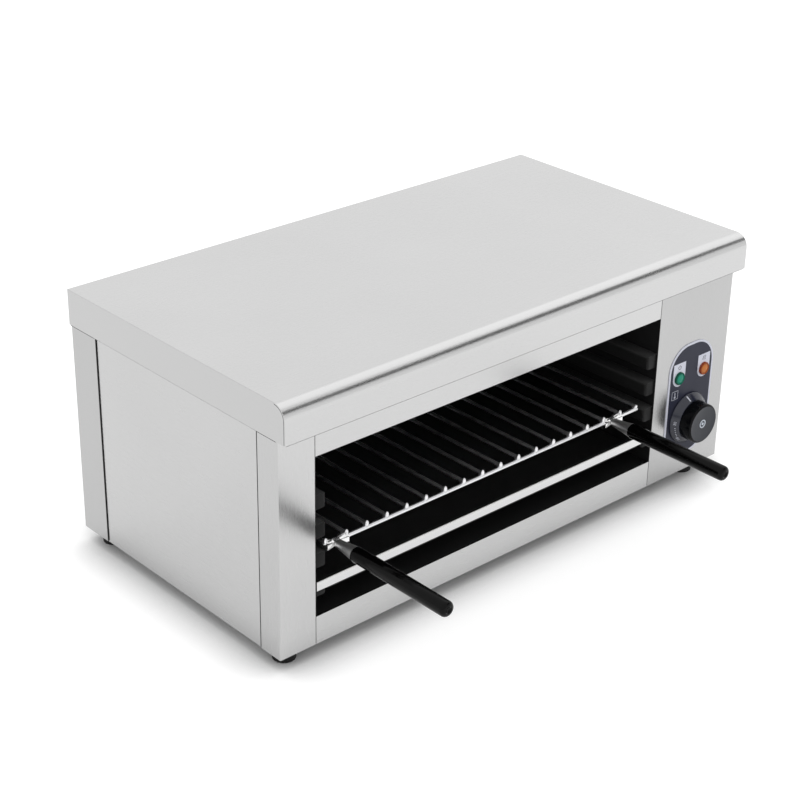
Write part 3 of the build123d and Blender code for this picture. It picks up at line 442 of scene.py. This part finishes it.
welds = bmesh.new()
for bar in ("rack_front_bar", "rack_middle_bar", "rack_rear_bar"):
    bar_low, bar_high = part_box(bar)
    for across in wire_places:
        spot = Matrix.Translation((across, (bar_low.y + bar_high.y) / 2, low.z))
        bmesh.ops.create_icosphere(welds, subdivisions=2, radius=1.0,
                                   matrix=spot @ Matrix.Diagonal((*WELD_SIZE, 1.0)))
make_piece("rack_welds", welds, plated_wire, "rack", "bright_wire")
dress(plated_wire, "rack_middle_bar", "rack_rear_bar")

bar_low, bar_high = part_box("rack_front_bar")
bar_ends = [Vector((end_x, (bar_low.y + bar_high.y) / 2, bar_high.z - BAR_RADIUS))
            for end_x in (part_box("left_handle_clip")[0].x + BAR_INSIDE_CLIP, high.x + BAR_PAST_WIRE)]
front_bar = bmesh.new()
round_bar(front_bar, *bar_ends, BAR_RADIUS, BAR_SIDES, BAR_END_ROUND)
make_piece("drawn_front_bar", front_bar, plated_wire, "rack", "bright_wire", "rack_front_bar")

# Handles ------------------------------------------------------------------------------------------
# Each pull handle is a bright clip crimped round the front bar, a steel neck that widens to the grip,
# a rod inside, and a black moulded grip with a rounded end.

# Bright-plated spring strip, and dull drawn steel tube with its draw marks along it.
bright_clip = satin_metal("pressed_bright_clip", "#FAFAFA", "#E9E9E9", 0.2, 0, 1.0)
drawn_neck = satin_metal("drawn_steel_neck", "#E2E2E2", "#ACACAC", 0.45, 1, 1.2)
dress(drawn_neck, "handle_rods")
CLIP_LENGTH, WAIST_RADIUS, WAIST_SIDES = 25.0 * MM, 3.6 * MM, 8
EAR_LENGTH, EAR_RADIUS, EAR_TAPER, EAR_SIDES = 9.0 * MM, 5.8 * MM, 1.4 * MM, 7
DENT_BORDER, DENT_DEPTH = 1.1 * MM, 0.5 * MM
NECK_TIP_RADIUS, NECK_SIDES, NECK_CUTS = 4.0 * MM, 32, 6
CREASE_HALF, CREASE_DEPTH, CREASE_RUN_OUT = 2.2 * MM, 0.8 * MM, 0.7


def handle_clip(side):
    """Clip crimped round the front bar: two faceted ears and a narrower waist that holds the neck."""
    low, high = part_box(f"{side}_handle_clip")
    bar_low, bar_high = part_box("rack_front_bar")
    middle = Vector(((low.x + high.x) / 2, (bar_low.y + bar_high.y) / 2, (bar_low.z + bar_high.z) / 2))
    across = Matrix.Translation(middle) @ Matrix.Rotation(math.radians(90), 4, "Y")
    shape = bmesh.new()
    for way in (-1, 1):
        ear = Matrix.Translation((way * (CLIP_LENGTH - EAR_LENGTH) / 2, 0, 0))
        made = bmesh.ops.create_cone(shape, cap_ends=True, segments=EAR_SIDES, depth=EAR_LENGTH,
                                     radius1=EAR_RADIUS - (way > 0) * EAR_TAPER,
                                     radius2=EAR_RADIUS - (way < 0) * EAR_TAPER, matrix=ear @ across)
        walls = dict.fromkeys(face for vert in made["verts"] for face in vert.link_faces
                              if len(face.verts) == 4)
        bmesh.ops.inset_individual(shape, faces=list(walls), thickness=DENT_BORDER,
                                   depth=-DENT_DEPTH, use_even_offset=True)
    bmesh.ops.create_cone(shape, cap_ends=True, segments=WAIST_SIDES, depth=CLIP_LENGTH - EAR_LENGTH,
                          radius1=WAIST_RADIUS, radius2=WAIST_RADIUS, matrix=across)
    return shape


def creased_neck(side):
    """Steel neck drawn down from the grip to the clip, with a crease pressed in above and below."""
    low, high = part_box(f"{side}_handle_ferrule")
    middle = (low + high) / 2
    along = Matrix.Translation(middle) @ Matrix.Rotation(math.radians(90), 4, "X")
    shape = bmesh.new()
    bmesh.ops.create_cone(shape, cap_ends=True, segments=NECK_SIDES, depth=high.y - low.y,
                          radius1=NECK_TIP_RADIUS, radius2=(high.x - low.x) / 2, matrix=along)
    lengthwise = [edge for edge in shape.edges
                  if abs(edge.verts[0].co.y - edge.verts[1].co.y) > 1 * MM]
    bmesh.ops.subdivide_edges(shape, edges=lengthwise, cuts=NECK_CUTS, use_grid_fill=True)
    for vert in shape.verts:
        to_tip = max((vert.co.y - low.y) / (high.y - low.y), 0.0)
        beside = abs(vert.co.x - middle.x) / CREASE_HALF
        if beside < 1:
            way = 1 if vert.co.z > middle.z else -1
            hollow = (1 + math.cos(beside * math.pi)) / 2
            vert.co.z -= way * CREASE_DEPTH * to_tip ** CREASE_RUN_OUT * hollow
    return shape


for side in ("left", "right"):
    make_piece(f"{side}_crimped_clip", handle_clip(side), bright_clip, "rack", "bright_wire",
               f"{side}_handle_clip")
    make_piece(f"{side}_creased_neck", creased_neck(side), drawn_neck, "rack", "neck_steel",
               f"{side}_handle_ferrule")

FLOW_MARK = 18 * MM
MOULD_SPREAD = 0.04


def moulded(name, light, dark, roughness, skin, gloss=0.5, depth=0.02):
    """Moulded plastic: even colour, soft flow marks, and a skin of the given grain and depth in mm."""
    material, tree, shader, place = start_finish(name)
    shader.inputs["Specular IOR Level"].default_value = gloss
    grain = add_node(tree, "TexNoise", {"Vector": place, "Scale": 1 / (skin * MM), "Detail": 2.0})
    flow = add_node(tree, "TexNoise", {"Vector": place, "Scale": 1 / FLOW_MARK, "Detail": 3.0})
    tone = add_node(tree, "Mix", {"Factor": flow.outputs["Fac"], 6: linear(light), 7: linear(dark)},
                    data_type="RGBA")
    tree.links.new(tone.outputs[2], shader.inputs["Base Color"])
    rough = add_node(tree, "MapRange", {"Value": flow.outputs["Fac"], "From Min": 0.3, "From Max": 0.7,
                                        "To Min": roughness - MOULD_SPREAD,
                                        "To Max": roughness + MOULD_SPREAD})
    tree.links.new(rough.outputs[0], shader.inputs["Roughness"])
    bumps = add_node(tree, "Bump", {"Height": grain.outputs["Fac"], "Strength": 0.3,
                                    "Distance": depth * MM})
    tree.links.new(bumps.outputs[0], shader.inputs["Normal"])
    return material


def turned(profile, centre, steps=72, rounds=()):
    """Shape spun round an axis along Y through centre.

    profile holds (radius, y) points in mm, y counted from centre; rounds gives (point, radius)."""
    shape = bmesh.new()
    points = [shape.verts.new((radius * MM, along * MM, 0)) for radius, along in profile]
    for pair in zip(points, points[1:]):
        shape.edges.new(pair)
    for index, radius in rounds:
        bmesh.ops.bevel(shape, geom=[points[index]], offset=radius * MM, segments=4, profile=0.5,
                        affect="VERTICES", clamp_overlap=True, material=-1)
    bmesh.ops.spin(shape, geom=shape.verts[:] + shape.edges[:], cent=(0, 0, 0), axis=(0, 1, 0),
                   angle=math.tau, steps=steps, use_merge=True)
    bmesh.ops.remove_doubles(shape, verts=shape.verts, dist=MERGE_DISTANCE)
    bmesh.ops.recalc_face_normals(shape, faces=shape.faces)
    bmesh.ops.translate(shape, verts=shape.verts, vec=centre)
    return shape


# Compression-moulded phenolic, gloss black: deep, with small bright reflections.
phenolic = moulded("gloss_black_phenolic", "#050505", "#030303", 0.07, 1.2, gloss=0.14)
for side in ("left", "right"):
    low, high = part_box(f"{side}_handle_grip")
    end = Vector(((low.x + high.x) / 2, low.y, (low.z + high.z) / 2))
    long = (high.y - low.y) / MM
    grip = turned([(0, 1.9), (1.6, 1.5), (2.9, 0.35), (3.6, 0), (7.5, 0), (7.5, long - 2.2),
                   (7.2, long - 1.9), (7.2, long), (0, long)],
                  end, rounds=((1, 0.6), (4, 4.0), (7, 0.25)))
    make_piece(f"{side}_spun_grip", grip, phenolic, "rack", "grip_black", f"{side}_handle_grip")

# Crumb tray ---------------------------------------------------------------------------------------
# Shallow folded pan that hangs by its rims on the lowest runners. It is coated like the cavity, and
# its front lip is turned down and left bare.

# Polished stainless lip, brighter than the casing, and the coating of the pan behind it.
tray_steel = satin_metal("bright_tray_lip", "#DFDFDF", "#D7D7D7", 0.26, 0, SHEET_LINE, wave=0.3)
tray_coating = coated_steel("black_tray_coating", "#1C1C1C", "#151515", 0.42, 0.8)
tray = folded_sheet("crumb_tray", "pressed_crumb_tray", tray_steel, body="crumb_tray")
tray.data.materials.append(tray_coating)
LIP_THICKNESS = 0.9 * MM
lip_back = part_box("crumb_tray")[0].y + LIP_THICKNESS
for polygon in tray.data.polygons:
    polygon.material_index = int(polygon.center.y > lip_back)

# Control plate ------------------------------------------------------------------------------------
# Overlay of polycarbonate film on the column, with a white border and white tags for the two lamps. A
# thermometer sign and the lamps' signs are printed on it.

# Film printed from behind, navy black or white: even colour under a softly shining skin. The signs'
# screen ink is duller than the film.
film_dark = moulded("printed_navy_film", "#323443", "#2E303F", 0.34, 1.0, gloss=0.16)
film_white = moulded("printed_white_film", "#E4E6F2", "#DCDEEC", 0.36, 1.0, gloss=0.4)
ink_white = moulded("white_dial_ink", "#DADCE6", "#CDD0DC", 0.5, 0.6, gloss=0.3)
ink_black = moulded("black_sign_ink", "#2A2C38", "#22242E", 0.5, 0.6, gloss=0.3)
dress(film_dark, "control_plate")
dress(film_white, "plate_border", "lamp_tags")
INK = 0.05 * MM
plate_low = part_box("control_plate")[0]
tag_low, tag_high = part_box("lamp_tags")
knob_low, knob_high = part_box("knob_skirt")
knob_axis = Vector(((knob_low.x + knob_high.x) / 2, 0, (knob_low.z + knob_high.z) / 2))


def arc_mark(shape, x, z, radius, width, start, sweep, steps):
    """Add a printed arc round x, z; angles in degrees from 12 o'clock, clockwise from the front."""
    inner = shape.verts.new((x, 0, z + radius - width / 2))
    outer = shape.verts.new((x, 0, z + radius + width / 2))
    edge = shape.edges.new((inner, outer))
    centre = Vector((x, 0, z))
    turn = Matrix.Rotation(math.radians(start), 3, "Y")
    bmesh.ops.rotate(shape, verts=(inner, outer), cent=centre, matrix=turn)
    bmesh.ops.spin(shape, geom=[inner, outer, edge], cent=centre, axis=(0, 1, 0),
                   angle=math.radians(sweep), steps=steps, use_merge=abs(sweep) >= 360)


def bar_mark(shape, x, z, wide, high, pieces=1):
    """Add a printed bar round x, z and return its points."""
    flat = Matrix.Translation((x, 0, z)) @ Matrix.Rotation(math.radians(90), 4, "X")
    made = bmesh.ops.create_grid(shape, x_segments=1, y_segments=pieces, size=0.5,
                                 matrix=flat @ Matrix.Diagonal((wide, high, 1, 1)))
    return made["verts"]


def print_marks(name, shape, ink, surface_y, slot):
    """Give flat marks the thickness of ink and lay them on a surface that faces the front."""
    bmesh.ops.remove_doubles(shape, verts=shape.verts, dist=MERGE_DISTANCE)
    bmesh.ops.translate(shape, verts=shape.verts, vec=(0, surface_y, 0))
    bmesh.ops.recalc_face_normals(shape, faces=shape.faces)
    grown = bmesh.ops.extrude_face_region(shape, geom=shape.faces[:])
    moved = [item for item in grown["geom"] if isinstance(item, bmesh.types.BMVert)]
    bmesh.ops.translate(shape, verts=moved, vec=(0, -INK, 0))
    bmesh.ops.recalc_face_normals(shape, faces=shape.faces)
    make_piece(name, shape, ink, "cabinet", slot)


# A square frame with a thermometer in it: a bulb and a stem.
FRAME_HALF, FRAME_SIDE, FRAME_LINE = 4.6 * MM, 9.7 * MM, 0.5 * MM
thermometer = bmesh.new()
sign_x, sign_z = plate_low.x + 9.0 * MM, knob_axis.z + 32.0 * MM
for side in (-1, 1):
    bar_mark(thermometer, sign_x + side * FRAME_HALF, sign_z, FRAME_LINE, FRAME_SIDE)
    bar_mark(thermometer, sign_x, sign_z + side * FRAME_HALF, FRAME_SIDE, FRAME_LINE)
arc_mark(thermometer, sign_x, sign_z - 2.0 * MM, 0.7 * MM, 1.4 * MM, 0, 360, 20)
bar_mark(thermometer, sign_x, sign_z + 0.8 * MM, 1.0 * MM, 4.4 * MM)
print_marks("thermometer_sign", thermometer, ink_white, plate_low.y, "plate_white")

# Above the green lamp an open ring with a stroke, for power; above the amber one three heat waves.
TAG_HALF, TAG_ROW_DOWN, SIGN_LINE = 9.3 * MM, 4.6 * MM, 0.6 * MM
WAVE_HIGH, WAVE_WIDE, WAVE_APART, WAVE_PIECES = 4.8 * MM, 0.45 * MM, 1.9 * MM, 12
signs = bmesh.new()
sign_row = tag_high.z - TAG_ROW_DOWN
arc_mark(signs, tag_low.x + TAG_HALF, sign_row, 2.0 * MM, SIGN_LINE, 40, 280, 28)
bar_mark(signs, tag_low.x + TAG_HALF, sign_row + 1.4 * MM, SIGN_LINE, 2.6 * MM)
for column in (-1, 0, 1):
    heat_wave = bar_mark(signs, tag_high.x - TAG_HALF + column * WAVE_APART, sign_row, SIGN_LINE,
                         WAVE_HIGH, WAVE_PIECES)
    for point in heat_wave:
        point.co.x += WAVE_WIDE * math.sin((point.co.z - sign_row) / WAVE_HIGH * math.tau)
print_marks("lamp_signs", signs, ink_black, tag_low.y, "plate_dark")

# Lamps --------------------------------------------------------------------------------------------
# Two push-in neon lamps: a moulded lens, green for supply and amber for heat, over a body that is held
# in the panel from behind. The lens has a raised rim and a slightly domed face.
LENS_PROFILE = [(0, 0.15), (2.5, 0.25), (4.6, 0.55), (5.4, 0.85), (5.8, 0.45), (6.2, 0.0), (7.0, 0.5),
                (7.0, 2.6), (0, 2.6)]
LENS_RIB = 1.5 * MM


def lamp_plastic(name, middle, rim, centre, radius):
    """Tinted polycarbonate: lighter in the middle as painted light, darker at the rim as painted shade.
    """
    material, tree, shader, place = start_finish(name, Roughness=0.2)
    shader.inputs["Specular IOR Level"].default_value = 0.2
    apart = add_node(tree, "VectorMath", {0: place, 1: centre}, operation="DISTANCE")
    share = add_node(tree, "MapRange", {"Value": apart.outputs["Value"], "From Min": radius * 0.45,
                                        "From Max": radius * 1.02}, interpolation_type="SMOOTHSTEP")
    ribs = add_node(tree, "TexNoise", {"Vector": place, "Scale": 1 / LENS_RIB, "Detail": 1.0})
    tone = add_node(tree, "Mix", {"Factor": share.outputs[0], 6: linear(middle), 7: linear(rim)},
                    data_type="RGBA")
    tree.links.new(tone.outputs[2], shader.inputs["Base Color"])
    bumps = add_node(tree, "Bump", {"Height": ribs.outputs["Fac"], "Strength": 0.2,
                                    "Distance": 0.05 * MM})
    tree.links.new(bumps.outputs[0], shader.inputs["Normal"])
    return material


# Each lens has a lighter middle colour, which is painted light, and a darker rim colour, which is
# painted shade.
for colour, middle, rim in (("green", "#0A9276", "#05503F"), ("amber", "#CB7830", "#8A3A1A")):
    low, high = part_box(f"{colour}_lamp_lens")
    front = Vector(((low.x + high.x) / 2, low.y, (low.z + high.z) / 2))
    radius = (high.x - low.x) / 2
    lens = turned(LENS_PROFILE, front, steps=48, rounds=((6, 0.4),))
    finish = lamp_plastic(f"{colour}_polycarbonate", middle, rim, front, radius)
    make_piece(f"{colour}_domed_lens", lens, finish, "cabinet", f"lens_{colour}", f"{colour}_lamp_lens")

# Heat-resistant moulded housings inside the column: cream, even and dull.
cream = moulded("cream_moulded_housing", "#E3DDCB", "#D5CFBC", 0.5, 0.8)
dress(cream, "lamp_holders", "thermostat_body", "terminal_block")

# Knob ---------------------------------------------------------------------------------------------
# Thermostat knob on the spindle: a conical skirt printed with an index line, dots and two numbers, a
# cap with a dished face, and a plain ring badge pressed into its middle.

# Moulded phenolic, slate blue and glossy on the skirt, nearly black on the cap's side, and satin on
# its face. The badge is satin aluminium with a dark ring in it.
skirt_gloss = moulded("gloss_slate_phenolic", "#272A3A", "#1F2231", 0.18, 1.0, gloss=0.6)
cap_gloss = moulded("gloss_knob_phenolic", "#0A0B0E", "#06070A", 0.2, 1.0, gloss=0.1)
cap_satin = moulded("satin_knob_face", "#272B34", "#1F232C", 0.38, 0.7, gloss=0.35)
badge_metal = satin_metal("satin_aluminium_badge", "#C2C8D0", "#A8AFB8", 0.3, 0, 0.6)

back = Vector((knob_axis.x, knob_high.y, knob_axis.z))
SKIRT_RIM, SKIRT_TOP = 28.5, 22.5
RIM_HIGH, SKIRT_HIGH = 1.2, 8.0
skirt = turned([(0, -0.6), (27.6, -0.6), (27.9, 0), (SKIRT_RIM, 0), (SKIRT_RIM, -RIM_HIGH),
                (SKIRT_TOP, -SKIRT_HIGH), (0, -SKIRT_HIGH)], back, rounds=((3, 0.2), (4, 0.8)))
make_piece("knob_cone_skirt", skirt, skirt_gloss, "knob", "knob_black", "knob_skirt")

low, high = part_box("knob_cap")
face = Vector((knob_axis.x, low.y, knob_axis.z))
deep = (high.y - low.y) / MM
CAP_RADIUS, DISH_RADIUS = 21.5, 19.0
cap = turned([(0, 1.6), (4.8, 1.6), (4.8, 0.98), (8.0, 0.86), (14.0, 0.6), (18.6, 0.14), (19.4, 0),
              (CAP_RADIUS, 0), (CAP_RADIUS, deep), (0, deep)], face, rounds=((7, 2.0),))
cap_piece = make_piece("knob_turned_cap", cap, cap_gloss, "knob", "knob_black", "knob_cap")
cap_piece.data.materials.append(cap_satin)
for polygon in cap_piece.data.polygons:
    middle = polygon.center - face
    if math.hypot(middle.x, middle.z) < DISH_RADIUS * MM and middle.y < 2 * MM:
        polygon.material_index = 1

low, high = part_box("knob_badge")
badge_face = Vector((knob_axis.x, low.y, knob_axis.z))
RING_INSIDE, RING_OUTSIDE, BADGE_RADIUS = 1.65, 3.25, 4.7
badge = turned([(0, -0.25), (1.5, -0.25), (1.7, 0.25), (3.2, 0.25), (3.4, -0.3),
                (BADGE_RADIUS, -0.35), (BADGE_RADIUS, 0.6), (0, 0.6)],
               badge_face, steps=64, rounds=((5, 0.25),))
badge_piece = make_piece("knob_ring_badge", badge, badge_metal, "knob", "badge_metal", "knob_badge")
badge_piece.data.materials.append(cap_satin)
for polygon in badge_piece.data.polygons:
    middle = polygon.center - badge_face
    if (RING_INSIDE * MM < math.hypot(middle.x, middle.z) < RING_OUTSIDE * MM
            and middle.y < 0.3 * MM):
        polygon.material_index = 1

CONE_WIDE, CONE_HIGH = SKIRT_RIM - SKIRT_TOP, SKIRT_HIGH - RIM_HIGH
CONE_SLOPE = math.atan2(CONE_WIDE, CONE_HIGH)
PRINT = 0.12 * MM
PRINT_EDGE = 0.03 * MM
INDEX_ANGLE, INDEX_RADIUS, INDEX_WIDE, INDEX_LONG = -14, 25.5, 1.4 * MM, 6.6 * MM
DOT_ANGLES, DOT_RING, DOT_RADIUS = range(238, 268, 6), 25.2, 0.55 * MM
NUMBERS, NUMBER_RING, NUMBER_HIGH = (("50", 275), ("300", 226)), 25.6, 4.2 * MM
knob_marks = bmesh.new()


def skirt_place(angle, radius):
    """Matrix onto the skirt's cone, angle in degrees clockwise from 12 o'clock, radius in mm."""
    depth = -RIM_HIGH - (SKIRT_RIM - radius) / CONE_WIDE * CONE_HIGH
    return (Matrix.Translation(back) @ Matrix.Rotation(math.radians(angle), 4, "Y")
            @ Matrix.Translation((0, depth * MM, radius * MM)) @ Matrix.Rotation(CONE_SLOPE, 4, "X"))


def skirt_number(text, angle, radius, high):
    """Print a plain number on the skirt, upright towards the rim."""
    letters = bpy.data.curves.new("number", "FONT")
    letters.body, letters.size, letters.extrude = text, high, PRINT / 2
    letters.align_x, letters.align_y, letters.resolution_u = "CENTER", "CENTER", 3
    holder = bpy.data.objects.new("number", letters)
    flat = bpy.data.meshes.new_from_object(holder)
    flat.transform(skirt_place(angle, radius) @ Matrix.Rotation(math.pi, 4, "Y")
                   @ Matrix.Rotation(math.pi, 4, "Z"))
    knob_marks.from_mesh(flat)
    bpy.data.objects.remove(holder)


bmesh.ops.create_cube(knob_marks, size=1.0, matrix=skirt_place(INDEX_ANGLE, INDEX_RADIUS)
                      @ Matrix.Diagonal((INDEX_WIDE, INDEX_LONG, PRINT, 1)))
for angle in DOT_ANGLES:
    bmesh.ops.create_cone(knob_marks, cap_ends=True, segments=14, radius1=DOT_RADIUS,
                          radius2=DOT_RADIUS - 0.05 * MM, depth=PRINT,
                          matrix=skirt_place(angle, DOT_RING))
bmesh.ops.bevel(knob_marks, geom=knob_marks.edges[:], offset=PRINT_EDGE, segments=1, profile=0.5,
                affect="EDGES", clamp_overlap=True, material=-1)
for text, angle in NUMBERS:
    skirt_number(text, angle, NUMBER_RING, NUMBER_HIGH)
make_piece("knob_index_marks", knob_marks, ink_white, "knob", "plate_white")
dress(zinc_plate, "knob_spindle")

# Sensor -------------------------------------------------------------------------------------------
# The thermostat's bulb is a closed tube under the reflector, held by two clips. A thin capillary tube
# leads from it through the right wall to the thermostat.

# Copper dulled by the heat: brown, with little shine.
copper = satin_metal("dull_copper", "#B98566", "#8C5F48", 0.38, 0, 0.6)
dress(copper, "sensor_bulb", "sensor_capillary")

# Supply side --------------------------------------------------------------------------------------
# A gland with its lock nut takes the supply cord through the rear panel. Inside, two sleeved leads run
# from the terminal block to the thermostat and to a lamp.

# Moulded nylon: black and satin. Silicone sleeve, made for heat: red-brown and dull.
nylon = moulded("black_nylon", "#1B1B1C", "#151516", 0.45, 0.6)
dress(nylon, "cable_gland", "gland_nut")
sleeve = moulded("red_brown_silicone", "#8A3B30", "#7A3028", 0.55, 0.8)
dress(sleeve, "internal_wires")

# Feet and screws ----------------------------------------------------------------------------------
# Four tapered rubber feet on countersunk screws with nuts, and slotted pan-head screws in the rear
# panel.

# Moulded rubber: matt black with a coarse skin. Bright zinc: clean pale metal.
rubber = moulded("moulded_black_rubber", "#1A1A1A", "#121212", 0.7, 0.5, gloss=0.3, depth=0.06)
dress(rubber, "feet")
bright_zinc = satin_metal("bright_zinc_screw", "#D9DADC", "#C4C6C9", 0.3, 0, 0.6)
dress(bright_zinc, "foot_screws", "foot_nuts", "rear_screws")

# Camera -------------------------------------------------------------------------------------------
# The camera stands left of the front, looks down on the object and is turned by about a degree. Its
# values were fitted to the cabinet's corners.
VIEW_AZIMUTH, VIEW_ELEVATION, VIEW_ROLL = (math.radians(angle) for angle in (-42.406, 26.560, 0.974))
VIEW_PLACE = (-1.1415, -1.1670, 0.9546)
VIEW_LENS, VIEW_SENSOR = 83.17, 36.0
looking = Vector((-math.sin(VIEW_AZIMUTH) * math.cos(VIEW_ELEVATION),
                  math.cos(VIEW_AZIMUTH) * math.cos(VIEW_ELEVATION), -math.sin(VIEW_ELEVATION)))
camera_data = bpy.data.cameras.new("camera")
camera_data.lens, camera_data.sensor_width = VIEW_LENS, VIEW_SENSOR
camera = bpy.data.objects.new("camera", camera_data)
camera.rotation_mode = "QUATERNION"
camera.location = VIEW_PLACE
camera.rotation_quaternion = looking.to_track_quat("-Z", "Y") @ Quaternion((0, 0, 1), VIEW_ROLL)
bpy.context.scene.collection.objects.link(camera)
bpy.context.scene.camera = camera

# Studio -------------------------------------------------------------------------------------------
# A white paper floor and white surroundings, a soft box above the right side, and a dark flag card
# high beyond the right front corner, which gives the lid's bend its dark line.


def seen_rays(tree):
    """Output that is 1 for what the camera sees directly, in gloss or through glass, and else 0."""
    ray = add_node(tree, "LightPath")
    seen = add_node(tree, "Math", {0: ray.outputs["Is Camera Ray"], 1: ray.outputs["Is Glossy Ray"]},
                    operation="MAXIMUM")
    seen = add_node(tree, "Math", {0: seen.outputs[0], 1: ray.outputs["Is Transmission Ray"]},
                    operation="MAXIMUM")
    return seen.outputs[0]


def stage_card(name, half_size, place, finish):
    """Flat card of the studio, which isn't part of the object."""
    shape = bmesh.new()
    bmesh.ops.create_grid(shape, x_segments=1, y_segments=1, size=1.0,
                          matrix=place @ Matrix.Diagonal((*half_size, 1, 1)))
    mesh = bpy.data.meshes.new(name)
    shape.to_mesh(mesh)
    shape.free()
    mesh.materials.append(finish)
    card = bpy.data.objects.new(name, mesh)
    bpy.context.scene.collection.objects.link(card)
    return card


# White background paper, matt. Where it is seen it is lifted to white, but less beside the object, so
# that the contact shadow stays.
FLOOR_HALF = 12.0
FLOOR_LIFT = 0.6
PAPER_FIBRE = 3 * MM
CONTACT_REACH = 60 * MM
CONTACT_DARK, CONTACT_CLEAR = 0.4, 0.9
paper, tree, shader, place = start_finish("white_background_paper", Roughness=0.9)
shader.inputs["Specular IOR Level"].default_value = 0.1
fibres = add_node(tree, "TexNoise", {"Vector": place, "Scale": 1 / PAPER_FIBRE, "Detail": 2.0})
tone = add_node(tree, "Mix", {"Factor": fibres.outputs["Fac"],
                              6: linear("#D2D2D2"), 7: linear("#CFCFCF")}, data_type="RGBA")
tree.links.new(tone.outputs[2], shader.inputs["Base Color"])
open_sky = add_node(tree, "AmbientOcclusion", {"Distance": CONTACT_REACH}, samples=8)
share = add_node(tree, "MapRange", {"Value": open_sky.outputs["AO"], "From Min": CONTACT_DARK,
                                    "From Max": CONTACT_CLEAR, "To Max": FLOOR_LIFT})
lift = add_node(tree, "Math", {0: seen_rays(tree), 1: share.outputs[0]}, operation="MULTIPLY")
glow = add_node(tree, "Emission", {"Color": linear("#FFFFFF"), "Strength": lift.outputs[0]})
both = add_node(tree, "AddShader", {0: shader.outputs[0], 1: glow.outputs[0]})
tree.links.new(both.outputs[0], tree.get_output_node("ALL").inputs["Surface"])
stage_card("floor", (FLOOR_HALF, FLOOR_HALF), Matrix.Identity(4), paper)

# White surroundings, a little weaker as a light than they look.
AMBIENT = 0.95
world = bpy.data.worlds.new("white_studio")
bpy.context.scene.world = world
world.use_nodes = True
tree = world.node_tree
tree.nodes.clear()
strength = add_node(tree, "MapRange", {"Value": seen_rays(tree), "To Min": AMBIENT, "To Max": 1.0})
sky = add_node(tree, "Background", {"Color": linear("#FFFFFF"), "Strength": strength.outputs[0]})
add_node(tree, "OutputWorld", {"Surface": sky.outputs[0]})

# The soft box shows in every gloss on top of the white surroundings, so it is kept weak.
BOX_SIZE, BOX_WATTS = 1.6, 2.5
BOX_PLACE, BOX_AIM = (1.2, 0.15, 1.7), Vector((0, 0, 0.1))
box_data = bpy.data.lights.new("soft_box", "AREA")
box_data.shape, box_data.size, box_data.size_y = "RECTANGLE", BOX_SIZE, BOX_SIZE
box_data.energy = BOX_WATTS
soft_box = bpy.data.objects.new("soft_box", box_data)
soft_box.location = BOX_PLACE
soft_box.rotation_mode = "QUATERNION"
soft_box.rotation_quaternion = (BOX_AIM - soft_box.location).to_track_quat("-Z", "Y")
bpy.context.scene.collection.objects.link(soft_box)

# The flag is felt on a card, nearly black, and shows only in the metal.
FLAG_OUT = Vector((0.66, -0.75, 0)) * 2.2
FLAG_UP = Vector((0, 0, 1.68))
FLAG_HALF = (1.2, 0.46)
felt, tree, shader, place = start_finish("black_flag_felt", Roughness=1.0)
shader.inputs["Specular IOR Level"].default_value = 0.0
shader.inputs["Base Color"].default_value = linear("#141414")
flag_place = (Matrix.Translation(FLAG_OUT + FLAG_UP)
              @ FLAG_OUT.to_track_quat("Z", "Y").to_matrix().to_4x4())
flag = stage_card("dark_flag", FLAG_HALF, flag_place, felt)
flag.visible_camera = flag.visible_diffuse = flag.visible_shadow = flag.visible_transmission = False

bpy.context.scene.view_settings.view_transform = "Standard"
